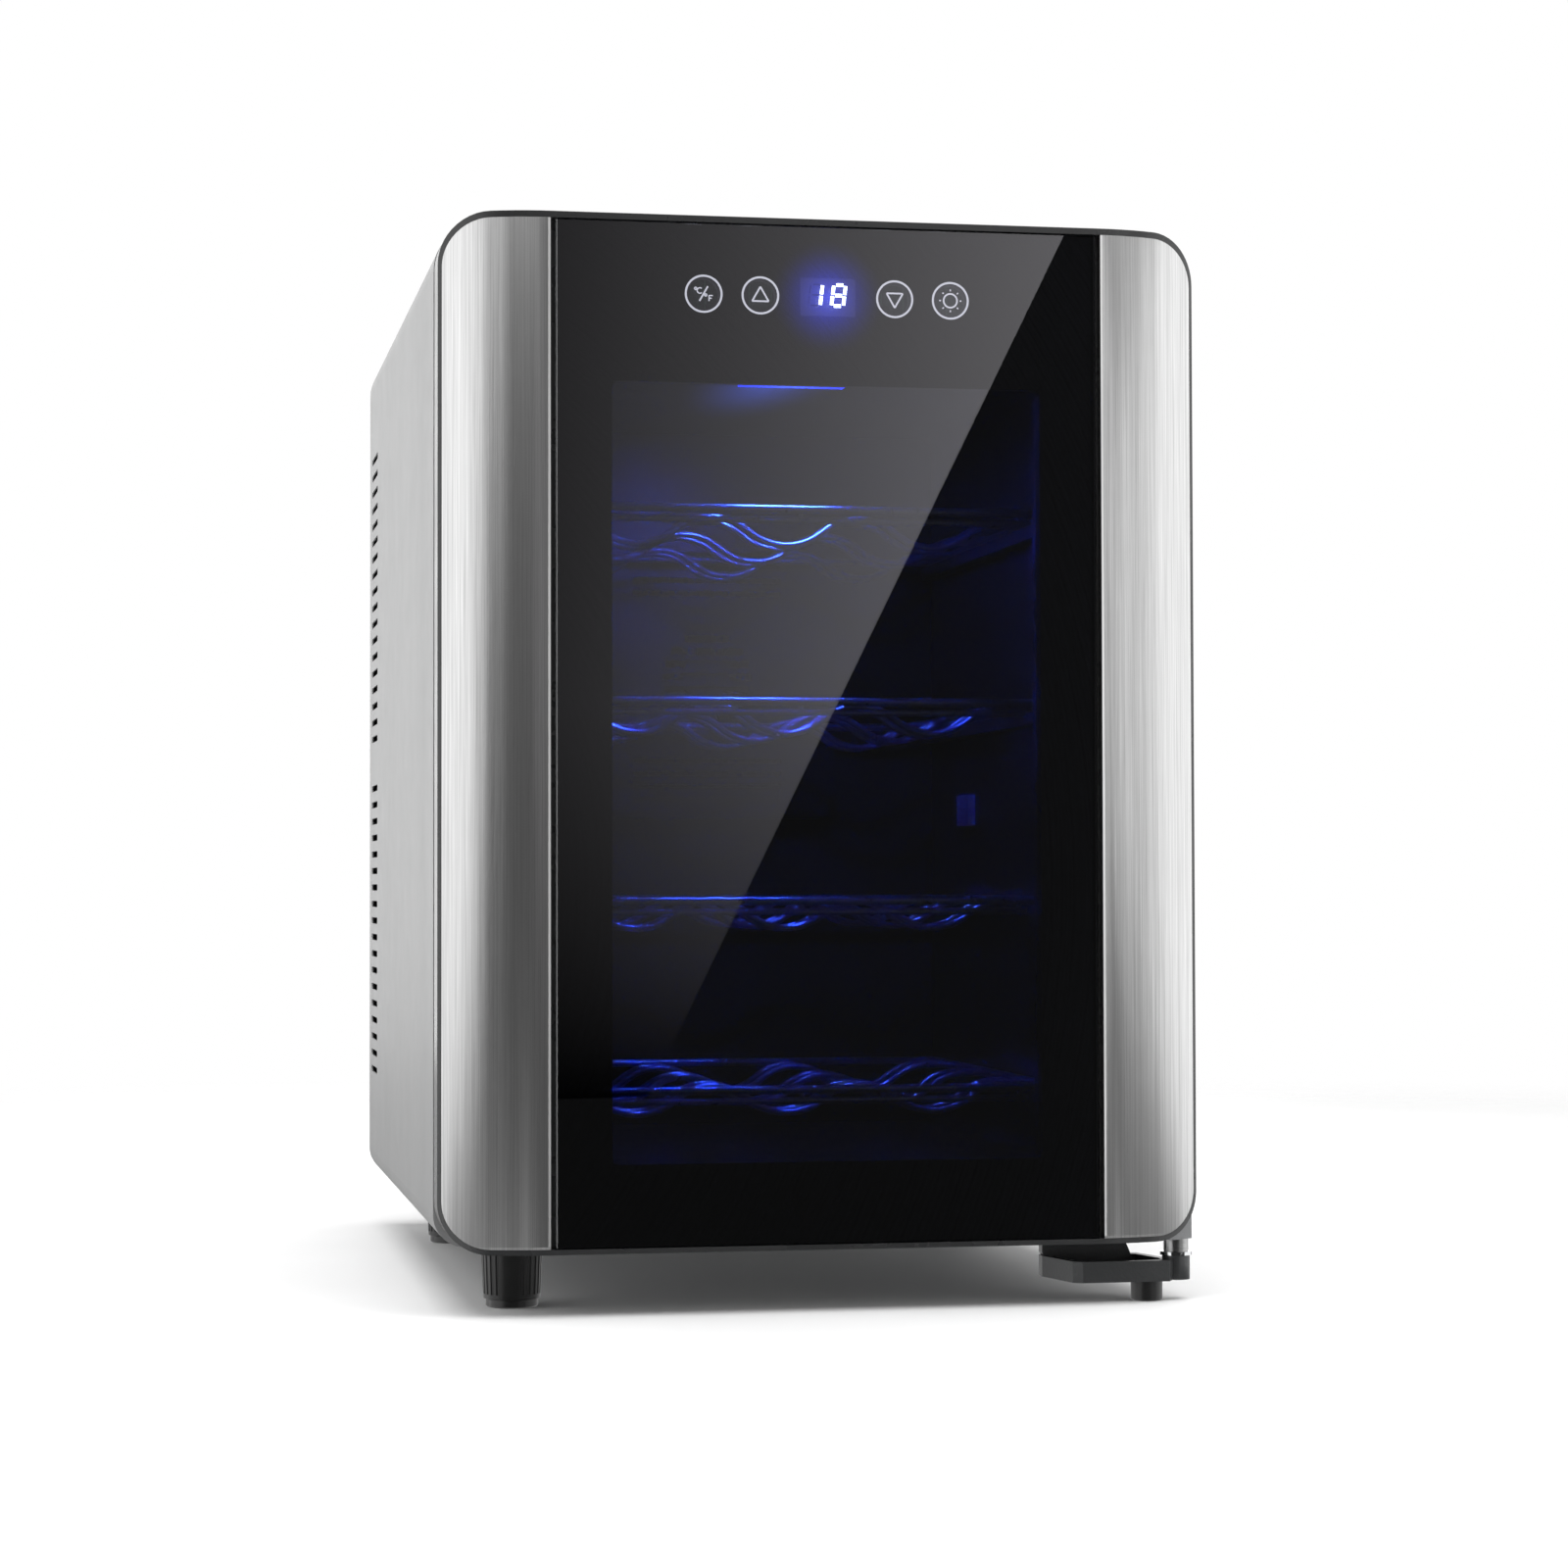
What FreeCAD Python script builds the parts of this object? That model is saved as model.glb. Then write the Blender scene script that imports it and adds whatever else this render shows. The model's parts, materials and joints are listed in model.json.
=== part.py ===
import FreeCAD, Part
import math
import os

# A free-standing thermoelectric wine cooler with a glass door, in millimetres.
# The origin is on the floor, under the middle of the cooler's whole width and depth.
# +X is to the right as seen from the front, +Y goes to the back and +Z is up.
# Places along the depth are given as distances behind the front of the glass,
# and the function back() turns such a distance into a Y.

# ---- overall sizes ----
WIDTH = 345.0
TOTAL_DEPTH = 500.0
FOOT_HEIGHT = 28.0
CABINET_HEIGHT = 455.0
CABINET_BACK = 455.0
CORNER_RADIUS = 20.0
LOWER_CORNER_RADIUS = 14.5

# ---- door ----
DOOR_THICKNESS = 33.0
DOOR_CORNER_RADIUS = 22.0
DOOR_LOWER_DROP = 0.5
DOOR_UPPER_RISE = 1.0
GASKET_GAP = 5.0
PANEL_WIDTH = 48.1
PANEL_SETBACK = 17.2
PANEL_GAUGE = 0.8
LIP_SIDE = 1.6
LIP_TOP = 2.8
LIP_BOTTOM = 2.3
GLASS_THICKNESS = 4.0
GLASS_CHAMFER = 0.8
GROOVE = 2.0
PRINT_THICKNESS = 0.2
INNER_GLASS_THICKNESS = 3.2
SPACER_DEPTH = 11.5
SPACER_WIDTH = 10.0
WINDOW_HALF_WIDTH = 97.0
WINDOW_SILL = 66.0
WINDOW_HEAD = 410.5
WINDOW_RADIUS = 3.0
DOOR_WALL = 2.6
INNER_FRAME_THICKNESS = 4.5
GASKET_WIDTH = 12.0
MAGNET_WIDTH = 7.0
MAGNET_THICKNESS = 2.0

# ---- hinges ----
HINGE_X = 163.5
HINGE_DEPTH = 20.0
LOWER_PIN_RADIUS = 2.5
UPPER_PIN_RADIUS = 2.0
RUNNING_GAP = 0.05
ARM_ANGLE = 25.0
ARM_WIDTH = 4.4
ARM_THICKNESS = 2.5
ARM_PLATE = 1.6
UPPER_PIN_RISE = 13.0
UPPER_SLEEVE_WALL = 1.6
SLEEVE_HEIGHT = 14.0
ARM_BELOW_DOOR_TOP = 31.5
BRACKET_FLOOR = 9.0
BRACKET_TOP = 20.0
BRACKET_WALL = 3.0
BOSS_RADIUS = 6.3
WASHER_RADIUS = 7.2
WASHER_THICKNESS = 1.6
BUSHING_RADIUS = 5.6
HINGE_FOOT_RADIUS = 7.2
HINGE_FOOT_X = 149.0
HINGE_FOOT_DEPTH = 18.0
HINGE_SPIGOT_RADIUS = 3.0
BRACKET_LEFT = 106.0
BRACKET_RIGHT = 152.0
BRACKET_ARM_LEFT = 113.0
BRACKET_FRONT = 9.5
RISER_DEPTH = 40.0
RISER_THICKNESS = 6.0
BRACKET_BACK = 86.0
ARM_SCREW_RISES = (-12.0, 14.0)

# ---- cabinet ----
SHEET = 0.8
BASE_SHEET = 1.2
FLANGE_WIDTH = 36.5
FLANGE_RADIUS = 10.0
FRONT_FRAME_THICKNESS = 3.0
LINER_WALL = 1.6
LINER_HALF_WIDTH = 126.0
LINER_FLOOR = 60.0
LINER_CEILING = 432.0
LINER_BACK = 350.0
LINER_RADIUS = 9.0
POCKET_RADIUS = 6.0
BULKHEAD_DEPTH = 393.0
BULKHEAD_THICKNESS = 1.0
VENT_PITCH = 9.06
VENT_HEIGHT = 3.4
VENT_LENGTH = 43.0
VENT_TOP = 423.0
VENT_FRONT = 395.0
VENTS_PER_GROUP = 18
VENTS_SKIPPED = 2

# ---- shelves ----
SHELF_LEVELS = (362.0, 273.0, 181.0, 94.0)
SHELF_FRONT = 68.0
SHELF_DEPTH = 262.0
SHELF_SIDE_GAP = 3.0
SHELF_WIRE = 2.0
SHELF_BEND = 8.0
WAVE_WIRE = 1.6
WAVE_PITCH = 71.0
WAVE_HEIGHT = 13.0
WAVE_COUNT = 3
WAVE_PAIRS = 3
WAVE_START = 38.0
WAVE_PAIR_GAP = 20.0
WAVE_PAIR_PITCH = 84.0
FRONT_BAR_DROP = 5.0
POST_WIRE = 1.2
RIB_REACH = 8.0
RIB_HEIGHT = 6.0

# ---- lamp and sensor ----
LAMP_HALF_WIDTH = 26.0
LAMP_FRONT = 62.0
LAMP_DEPTH = 34.0
LAMP_HEIGHT = 8.0
LAMP_WALL = 2.0
LENS_THICKNESS = 2.0
DIODE_XS = (-15.0, 0.0, 15.0)
DIODE_HALF = 2.5
DIODE_HEIGHT = 1.2
SENSOR_FRONT = 250.0
SENSOR_LENGTH = 24.0
SENSOR_HALF_HEIGHT = 8.0
SENSOR_THICKNESS = 4.0
SENSOR_SLOT_RISES = (-4.0, 0.0, 4.0)
SENSOR_SLOT = 2.0

# ---- cooling unit ----
UNIT_LEVEL = 300.0
POCKET_HALF_WIDTH = 62.0
POCKET_HALF_HEIGHT = 68.0
POCKET_DEPTH = 28.0
COLD_SINK_WIDTH = 104.0
COLD_SINK_HEIGHT = 116.0
HOT_SINK_WIDTH = 124.0
HOT_SINK_HEIGHT = 130.0
HOT_FIN_DEPTH = 34.0
SINK_BASE = 5.0
FIN_GAUGE = 1.2
COLD_FINS = 15
HOT_FINS = 19
MODULE_SIZE = 40.0
MODULE_THICKNESS = 3.6
INNER_FAN_SIZE = 60.0
INNER_FAN_DEPTH = 10.0
OUTER_FAN_SIZE = 92.0
OUTER_FAN_DEPTH = 25.0
FAN_CLEARANCE = 1.0
FAN_HUB_SHARE = 0.42
BLADES = 7
FAN_SPINDLE_RADIUS = 1.5
FAN_SPINDLE_SHARE = 0.45
FAN_WALL = 2.0
FAN_SEAT = 2.0
FAN_SPOKE_HALF = 1.5
FAN_HOLE_INSET = 4.5
BLADE_THICKNESS = 1.4
BLADE_TWIST = 52.0

# ---- supply and inlet ----
SUPPLY_LEFT = -112.0
SUPPLY_RIGHT = 40.0
SUPPLY_LOW = 62.0
SUPPLY_HIGH = 168.0
SUPPLY_DEPTH = 42.0
SUPPLY_MARGIN = 6.0
SUPPLY_STANDOFF = 6.0
SUPPLY_SLOTS = 9
SUPPLY_SLOT_PITCH = 15.0
SUPPLY_SLOT = 4.0
SUPPLY_SLOT_MARGIN = 20.0
# blocks on the board: X and Z from its lower left corner, width, height and how far it stands out
TRANSFORMER = (14.0, 24.0, 40.0, 38.0, 26.0)
CHOKE = (66.0, 16.0, 30.0, 28.0, 14.0)
RELAY = (106.0, 52.0, 24.0, 30.0, 18.0)
CAPACITOR_PLACES = ((76.0, 66.0), (92.0, 66.0), (116.0, 24.0))
CAPACITOR_RADIUS = 6.5
CAPACITOR_HEIGHT = 22.0
INLET_X = 96.0
INLET_Z = 84.0
INLET_WIDTH = 27.5
INLET_HEIGHT = 20.0
INLET_DEPTH = 22.0
INLET_WALL = 2.0
INLET_PINS = ((-7.0, -2.0), (0.0, 3.0), (7.0, -2.0))

# ---- rear cover ----
COVER_SHEET = 1.2
COVER_SEAT = 3.0
COVER_RIM = 12.0
HUMP_HALF_WIDTH = 138.0
HUMP_FLOOR = 56.0
HUMP_TOP = 446.0
HUMP_BACK = 480.0
HUMP_RADIUS = 16.0
COVER_SCREW_INSET = 16.0
COVER_SCREW_LEVELS = (60.0, 190.0, 320.0, 450.0)
GRILLE_RINGS = 5
GRILLE_RING_PITCH = 8.5
GRILLE_RING_GAP = 5.0
GRILLE_SPOKE_HALF = 1.8
REAR_SLOT_ROWS = 8
REAR_SLOT_PITCH = 8.0
REAR_SLOT_XS = (-112.0, -52.0, 8.0, 68.0)
REAR_SLOT_LENGTH = 44.0
REAR_SLOT_HALF = 1.6
SPACER_POST_RADIUS = 11.0
SPACER_POST_X = 96.0

# ---- feet ----
FOOT_X = 136.0
FOOT_FRONT = 52.0
FOOT_REAR = 345.0
FOOT_TOP_RADIUS = 13.75
FOOT_LOW_RADIUS = 12.75
FOOT_PAD_RADIUS = 11.75
FOOT_PAD_HEIGHT = 3.6
FOOT_GAP = 0.3
PAD_SPIGOT_RADIUS = 4.0
PAD_SPIGOT_HEIGHT = 6.0
PAD_CHAMFER = 0.6
FLUTE_GROUPS = 3
FLUTES_PER_GROUP = 6
FLUTE_STEP = 360.0 / 27
FLUTE_RADIUS = 0.9
FLUTE_STANDOFF = 0.35
KNOB_TURN = -99.0
STUD_RADIUS = 4.0
STUD_LENGTH = 20.0

# ---- controls ----
CONTROLS_BELOW_TOP = 34.0
TOUCH_XS = (-56.0, -30.5, 30.5, 56.0)
TOUCH_RADIUS = 8.5
TOUCH_STROKE = 0.9
DISPLAY_WIDTH = 25.0
DISPLAY_HEIGHT = 17.0
BOARD_THICKNESS = 1.6
CONTROL_BOARD_HALF = 72.0
CHIP_LEFT = -44.0
CHIP_RIGHT = -30.0
CHIP_HALF_HEIGHT = 7.0
PLUG_LEFT = 40.0
PLUG_RIGHT = 56.0
PLUG_HALF_HEIGHT = 4.0

# ---- small clearances ----
SEAT_GAP = 0.1
SLIDE_GAP = 0.3
SCREW_RADIUS = 1.9
SCREW_HEAD_RADIUS = 3.6
SCREW_HEAD_HEIGHT = 1.8
SCREW_LENGTH = 9.0
FLAT_HEAD_RADIUS = 3.2
SOCKET_SHARE = 0.35

# ---- worked out from the sizes above ----
HALF_WIDTH = WIDTH / 2
CABINET_FLOOR = FOOT_HEIGHT
CABINET_TOP = CABINET_FLOOR + CABINET_HEIGHT
DOOR_BOTTOM = CABINET_FLOOR - DOOR_LOWER_DROP
DOOR_TOP = CABINET_TOP + DOOR_UPPER_RISE
CABINET_FRONT = DOOR_THICKNESS + GASKET_GAP
PANEL_EDGE = HALF_WIDTH - PANEL_WIDTH
PANEL_ARC = (PANEL_WIDTH ** 2 + PANEL_SETBACK ** 2) / (2 * PANEL_SETBACK)
GLASS_HALF_WIDTH = PANEL_EDGE - GROOVE
GLASS_BOTTOM = DOOR_BOTTOM + LIP_BOTTOM + SEAT_GAP
GLASS_TOP = DOOR_TOP - LIP_TOP - SEAT_GAP
GLASS_BACK = GLASS_THICKNESS + PRINT_THICKNESS
INNER_GLASS_FRONT = GLASS_BACK + SPACER_DEPTH
INNER_GLASS_BACK = INNER_GLASS_FRONT + INNER_GLASS_THICKNESS
OPENING_MARGIN = 15.0
INNER_FRAME_FRONT = DOOR_THICKNESS - INNER_FRAME_THICKNESS
ARM_FLOOR = DOOR_TOP - ARM_BELOW_DOOR_TOP
LINER_FRONT = CABINET_FRONT + FRONT_FRAME_THICKNESS
FLANGE_EDGE = HALF_WIDTH - FLANGE_WIDTH
FLANGE_SILL = LINER_FLOOR - 14.0
FLANGE_HEAD = LINER_CEILING + 14.0
GASKET_OUTER = FLANGE_EDGE + GASKET_WIDTH + 2.0
GASKET_SILL = FLANGE_SILL - GASKET_WIDTH + 2.0
GASKET_HEAD = FLANGE_HEAD + GASKET_WIDTH - 2.0
SHELF_HALF_WIDTH = LINER_HALF_WIDTH - SHELF_SIDE_GAP
SHELF_RAIL = SHELF_HALF_WIDTH - SHELF_WIRE
POCKET_BACK = LINER_BACK + POCKET_DEPTH
UNIT_BACK = BULKHEAD_DEPTH + BULKHEAD_THICKNESS
HOT_FAN_FRONT = UNIT_BACK + SINK_BASE + HOT_FIN_DEPTH + FAN_CLEARANCE
COVER_FRONT = CABINET_BACK - COVER_SEAT
CONTROLS_LEVEL = DOOR_TOP - CONTROLS_BELOW_TOP
SPACER_POSTS_Z = HUMP_TOP - 44.0


def back(distance):
    """Y of a point this far behind the front of the glass."""
    return distance - TOTAL_DEPTH / 2


def point(x, depth, z):
    return FreeCAD.Vector(x, back(depth), z)


def box(x0, x1, d0, d1, z0, z1):
    return Part.makeBox(x1 - x0, d1 - d0, z1 - z0, point(x0, d0, z0))


def side_box(side, near, far, d0, d1, z0, z1):
    """A box between two distances from the middle, on the left (-1) or the right (1)."""
    return box(min(side * near, side * far), max(side * near, side * far), d0, d1, z0, z1)


def round_y(x, z, radius, d0, d1):
    """A cylinder that runs front to back."""
    return Part.makeCylinder(radius, d1 - d0, point(x, d0, z), FreeCAD.Vector(0, 1, 0))


def round_z(x, depth, radius, z0, z1):
    """A cylinder that stands upright."""
    return Part.makeCylinder(radius, z1 - z0, point(x, depth, z0))


def round_x(depth, z, radius, x0, x1):
    """A cylinder that runs from side to side."""
    return Part.makeCylinder(radius, x1 - x0, point(x0, depth, z), FreeCAD.Vector(1, 0, 0))


def unit_block(half_width, half_height, d0, d1):
    """A block centred on the cooling unit's axis."""
    return box(-half_width, half_width, d0, d1, UNIT_LEVEL - half_height, UNIT_LEVEL + half_height)


def controls_block(x0, x1, half_height, d0, d1):
    """A block centred on the row of controls."""
    return box(x0, x1, d0, d1, CONTROLS_LEVEL - half_height, CONTROLS_LEVEL + half_height)


def save(shape, name):
    shape.exportStep(os.path.join("parts", name + ".step"))


def rounded_prism(half_width, z0, z1, low_radius, top_radius, d0, d1):
    """A block along the depth whose front outline is a rectangle with round corners."""
    k = math.sqrt(0.5)

    def at(x, z):
        return point(x, d0, z)

    def corner(x, z, radius, sx, sz):
        """Start, middle and end of a quarter circle, going anticlockwise."""
        cx = x - sx * radius
        cz = z - sz * radius
        side = at(x, cz)
        end = at(cx, z)
        middle = at(cx + sx * radius * k, cz + sz * radius * k)
        return (side, middle, end) if sx * sz > 0 else (end, middle, side)

    corners = [
        corner(half_width, z1, top_radius, 1, 1),
        corner(-half_width, z1, top_radius, -1, 1),
        corner(-half_width, z0, low_radius, -1, -1),
        corner(half_width, z0, low_radius, 1, -1),
    ]
    edges = []
    for i, (start, middle, end) in enumerate(corners):
        edges.append(Part.Arc(start, middle, end).toShape())
        edges.append(Part.LineSegment(end, corners[(i + 1) % 4][0]).toShape())
    face = Part.Face(Part.Wire(edges))
    return face.extrude(FreeCAD.Vector(0, d1 - d0, 0))


def ring_prism(outer, inner, d0, d1):
    """A frame: outer and inner are (half width, low z, high z, corner radius)."""
    reach = 1.0
    solid = rounded_prism(outer[0], outer[1], outer[2], outer[3], outer[3], d0, d1)
    hole = rounded_prism(inner[0], inner[1], inner[2], inner[3], inner[3], d0 - reach, d1 + reach)
    return solid.cut(hole)


def bowed_block(inset, z0, z1, rear):
    """The door's plan outline, flat in the middle and bowed back at both sides,
    set back by inset from the true front and extruded upwards."""
    radius = PANEL_ARC - inset
    swing = math.asin(PANEL_WIDTH / PANEL_ARC)

    def on_arc(side, share):
        turn = swing * share
        x = side * (PANEL_EDGE + radius * math.sin(turn))
        return point(x, PANEL_ARC - radius * math.cos(turn), z0)

    left_end = on_arc(-1, 1)
    left_start = on_arc(-1, 0)
    right_start = on_arc(1, 0)
    right_end = on_arc(1, 1)
    out = HALF_WIDTH + 5.0
    corner_depth = right_end.y - back(0)
    left_out = point(-out, corner_depth, z0)
    right_out = point(out, corner_depth, z0)
    left_rear = point(-out, rear, z0)
    right_rear = point(out, rear, z0)
    edges = [
        Part.LineSegment(left_rear, left_out).toShape(),
        Part.LineSegment(left_out, left_end).toShape(),
        Part.Arc(left_end, on_arc(-1, 0.5), left_start).toShape(),
        Part.LineSegment(left_start, right_start).toShape(),
        Part.Arc(right_start, on_arc(1, 0.5), right_end).toShape(),
        Part.LineSegment(right_end, right_out).toShape(),
        Part.LineSegment(right_out, right_rear).toShape(),
        Part.LineSegment(right_rear, left_rear).toShape(),
    ]
    face = Part.Face(Part.Wire(edges))
    return face.extrude(FreeCAD.Vector(0, 0, z1 - z0))


def door_block(inset, rim, d1):
    """The door's whole outline, set back by inset, with a rim taken off all round."""
    side, low, top = rim
    radius = DOOR_CORNER_RADIUS - side
    outline = rounded_prism(HALF_WIDTH - side, DOOR_BOTTOM + low, DOOR_TOP - top, radius, radius, -1, d1)
    return outline.common(bowed_block(inset, DOOR_BOTTOM - 5, DOOR_TOP + 5, d1 + 1))


def screws(places, radius, head, length, direction):
    """Pan-head screws: each place is where the head meets the sheet."""
    pieces = []
    for x, depth, z in places:
        start = point(x, depth, z)
        shank = Part.makeCylinder(radius, length, start, direction)
        cap = Part.makeCylinder(head, SCREW_HEAD_HEIGHT, start - direction * SCREW_HEAD_HEIGHT, direction)
        slot = Part.makeBox(head * 1.1, radius * 0.5, SCREW_HEAD_HEIGHT * 0.5)
        slot.translate(FreeCAD.Vector(-head * 0.55, -radius * 0.25, -SCREW_HEAD_HEIGHT))
        cross = slot.copy()
        cross.rotate(FreeCAD.Vector(0, 0, 0), FreeCAD.Vector(0, 0, 1), 90)
        turn = FreeCAD.Rotation(FreeCAD.Vector(0, 0, 1), direction)
        for cut in (slot, cross):
            cut.Placement = FreeCAD.Placement(start, turn).multiply(cut.Placement)
            cap = cap.cut(cut)
        pieces.append(shank.fuse(cap))
    return Part.makeCompound(pieces)


def countersunk_heads(places, radius, head, direction):
    """Cones of flat-head screws, flush with the sheet at each place."""
    cones = []
    for x, depth, z in places:
        cones.append(Part.makeCone(head, radius, head - radius, point(x, depth, z), direction))
    return cones


def countersunk_screws(places, radius, head, length, direction):
    """Flat-head screws with a square socket: each place is the middle of the head's face."""
    pieces = []
    for cone, (x, depth, z) in zip(countersunk_heads(places, radius, head, direction), places):
        start = point(x, depth, z)
        half = head * SOCKET_SHARE
        socket = Part.makeBox(2 * half, 2 * half, head - radius)
        socket.translate(FreeCAD.Vector(-half, -half, -(head - radius) / 2))
        turn = FreeCAD.Rotation(FreeCAD.Vector(0, 0, 1), direction)
        socket.Placement = FreeCAD.Placement(start, turn).multiply(socket.Placement)
        shank = Part.makeCylinder(radius, length, start, direction)
        pieces.append(shank.fuse(cone).cut(socket))
    return Part.makeCompound(pieces)


def holes(places, radius, length, direction):
    """Cutters for the shanks of screws at these places."""
    cutters = []
    for x, depth, z in places:
        start = point(x, depth, z) - direction * length
        cutters.append(Part.makeCylinder(radius, 2 * length, start, direction))
    return Part.makeCompound(cutters)


UP = FreeCAD.Vector(0, 0, 1)
FORWARD = FreeCAD.Vector(0, -1, 0)
REARWARD = FreeCAD.Vector(0, 1, 0)

BASE_SCREWS = [(s * 120.0, d, CABINET_FLOOR) for s in (-1, 1) for d in (95.0, 230.0, 415.0)]
COVER_SCREW_X = HALF_WIDTH - COVER_SCREW_INSET
COVER_FACE = COVER_FRONT + COVER_SHEET
COVER_SCREWS = [(s * COVER_SCREW_X, COVER_FACE, z) for s in (-1, 1) for z in COVER_SCREW_LEVELS]
BRACKET_SCREW_PLACES = ((114.0, 76.0), (128.0, 58.0), (142.0, 76.0))
BRACKET_SCREWS = [(x, d, CABINET_FLOOR - BRACKET_WALL) for x, d in BRACKET_SCREW_PLACES]
ARM_SCREW_X = HINGE_X - 3.5
ARM_SCREWS = [(ARM_SCREW_X, CABINET_FRONT - ARM_PLATE, ARM_FLOOR + rise) for rise in ARM_SCREW_RISES]


def cabinet_wrap():
    """Folded steel skin: sides, top and the turned-in bottom corners, with a front flange."""
    floor_edge = HALF_WIDTH - LOWER_CORNER_RADIUS - 10.0
    outer = rounded_prism(HALF_WIDTH, CABINET_FLOOR, CABINET_TOP, LOWER_CORNER_RADIUS, CORNER_RADIUS,
                          CABINET_FRONT, CABINET_BACK)
    inner = rounded_prism(HALF_WIDTH - SHEET, CABINET_FLOOR + SHEET, CABINET_TOP - SHEET,
                          LOWER_CORNER_RADIUS - SHEET, CORNER_RADIUS - SHEET,
                          CABINET_FRONT + SHEET, CABINET_BACK + 1)
    skin = outer.cut(inner)
    skin = skin.cut(rounded_prism(FLANGE_EDGE, FLANGE_SILL, FLANGE_HEAD, FLANGE_RADIUS, FLANGE_RADIUS,
                                  CABINET_FRONT - 1, CABINET_FRONT + 2))
    underside = box(-floor_edge, floor_edge, CABINET_FRONT + SHEET, CABINET_BACK + 1,
                    CABINET_FLOOR - 1, CABINET_FLOOR + SHEET + 1)
    skin = skin.cut(underside)
    slots = []
    for row in range(2 * VENTS_PER_GROUP + VENTS_SKIPPED):
        if VENTS_PER_GROUP <= row < VENTS_PER_GROUP + VENTS_SKIPPED:
            continue
        z = VENT_TOP - row * VENT_PITCH
        radius = VENT_HEIGHT / 2
        front = VENT_FRONT + radius
        rear = VENT_FRONT + VENT_LENGTH - radius
        for side in (-1, 1):
            x0 = side * HALF_WIDTH - 3
            slots.append(box(x0, x0 + 6, front, rear, z - radius, z + radius))
            slots.append(round_x(front, z, radius, x0, x0 + 6))
            slots.append(round_x(rear, z, radius, x0, x0 + 6))
    skin = skin.cut(Part.makeCompound(slots))
    return skin.cut(holes(ARM_SCREWS, SCREW_RADIUS + SEAT_GAP, SCREW_LENGTH, REARWARD))


def base_plate():
    """Steel floor of the cabinet, lapped over the turned-in edges of the wrap."""
    edge = HALF_WIDTH - LOWER_CORNER_RADIUS - 2.0
    low = CABINET_FLOOR + SHEET
    rear = CABINET_BACK - COVER_RIM - 1
    plate = box(-edge, edge, CABINET_FRONT + SHEET, rear, low, low + BASE_SHEET)
    step_edge = HALF_WIDTH - LOWER_CORNER_RADIUS - 10.5
    step = box(-step_edge, step_edge, CABINET_FRONT + SHEET, rear, CABINET_FLOOR, low)
    plate = plate.fuse(step)
    for x, depth in foot_places():
        plate = plate.cut(round_z(x, depth, STUD_RADIUS + 3.1, CABINET_FLOOR - 1, CABINET_FLOOR + 5))
    plate = plate.cut(holes(BASE_SCREWS, SCREW_RADIUS, SCREW_LENGTH, UP))
    return plate.cut(holes(BRACKET_SCREWS, SCREW_RADIUS, SCREW_LENGTH, UP))


def foot_places():
    return [(-FOOT_X, FOOT_FRONT), (-FOOT_X, FOOT_REAR), (FOOT_X, FOOT_REAR)]


def foot_inserts():
    """Threaded inserts in the floor that take the studs of the feet."""
    inserts = []
    for x, depth in foot_places():
        low = CABINET_FLOOR
        insert = round_z(x, depth, STUD_RADIUS + 3.0, low, low + STUD_LENGTH + 3)
        insert = insert.cut(round_z(x, depth, STUD_RADIUS + RUNNING_GAP, low - 1, low + STUD_LENGTH + 1.5))
        inserts.append(insert)
    return Part.makeCompound(inserts)


def front_frame():
    """Plastic breaker frame that joins the steel front flange to the liner."""
    gap = SEAT_GAP
    face = ring_prism((FLANGE_EDGE - gap, FLANGE_SILL + gap, FLANGE_HEAD - gap, FLANGE_RADIUS - gap),
                      (LINER_HALF_WIDTH, LINER_FLOOR, LINER_CEILING, LINER_RADIUS),
                      CABINET_FRONT, LINER_FRONT)
    ledge = ring_prism((FLANGE_EDGE + 4, FLANGE_SILL - 4, FLANGE_HEAD + 4, 12.0),
                       (FLANGE_EDGE - 3, FLANGE_SILL + 3, FLANGE_HEAD - 3, 8.0),
                       CABINET_FRONT + SHEET, LINER_FRONT)
    return face.fuse(ledge)


def liner_outline(grow, d0, d1):
    return rounded_prism(LINER_HALF_WIDTH + grow, LINER_FLOOR - grow, LINER_CEILING + grow,
                         LINER_RADIUS + grow, LINER_RADIUS + grow, d0, d1)


def pocket_block(grow, d0, d1):
    radius = POCKET_RADIUS + grow
    return rounded_prism(POCKET_HALF_WIDTH + grow, UNIT_LEVEL - POCKET_HALF_HEIGHT - grow,
                         UNIT_LEVEL + POCKET_HALF_HEIGHT + grow, radius, radius, d0, d1)


def liner_outside():
    """Everything that the liner takes up, used to hollow the foam."""
    shell = liner_outline(LINER_WALL, LINER_FRONT, LINER_BACK + LINER_WALL)
    flange = liner_outline(LINER_WALL + 5, LINER_FRONT, LINER_FRONT + LINER_WALL)
    return shell.fuse(flange).fuse(pocket_block(LINER_WALL, LINER_BACK, POCKET_BACK + LINER_WALL))


def inner_liner():
    """Vacuum-formed plastic tub with shelf ribs and a pocket for the cold sink."""
    tub = liner_outside()
    tub = tub.cut(liner_outline(0, LINER_FRONT - 1, LINER_BACK))
    tub = tub.cut(pocket_block(0, LINER_BACK - 1, POCKET_BACK))
    window = MODULE_SIZE / 2 + 2
    tub = tub.cut(unit_block(window, window, POCKET_BACK - 1, POCKET_BACK + 5))
    ribs = []
    for level in SHELF_LEVELS:
        top = level - SHELF_WIRE - SEAT_GAP
        for side in (-1, 1):
            ribs.append(side_box(side, LINER_HALF_WIDTH - RIB_REACH, LINER_HALF_WIDTH + LINER_WALL / 2,
                                 LINER_FRONT + 8, LINER_BACK - 8, top - RIB_HEIGHT, top))
    return tub.fuse(ribs).removeSplitter()


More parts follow.
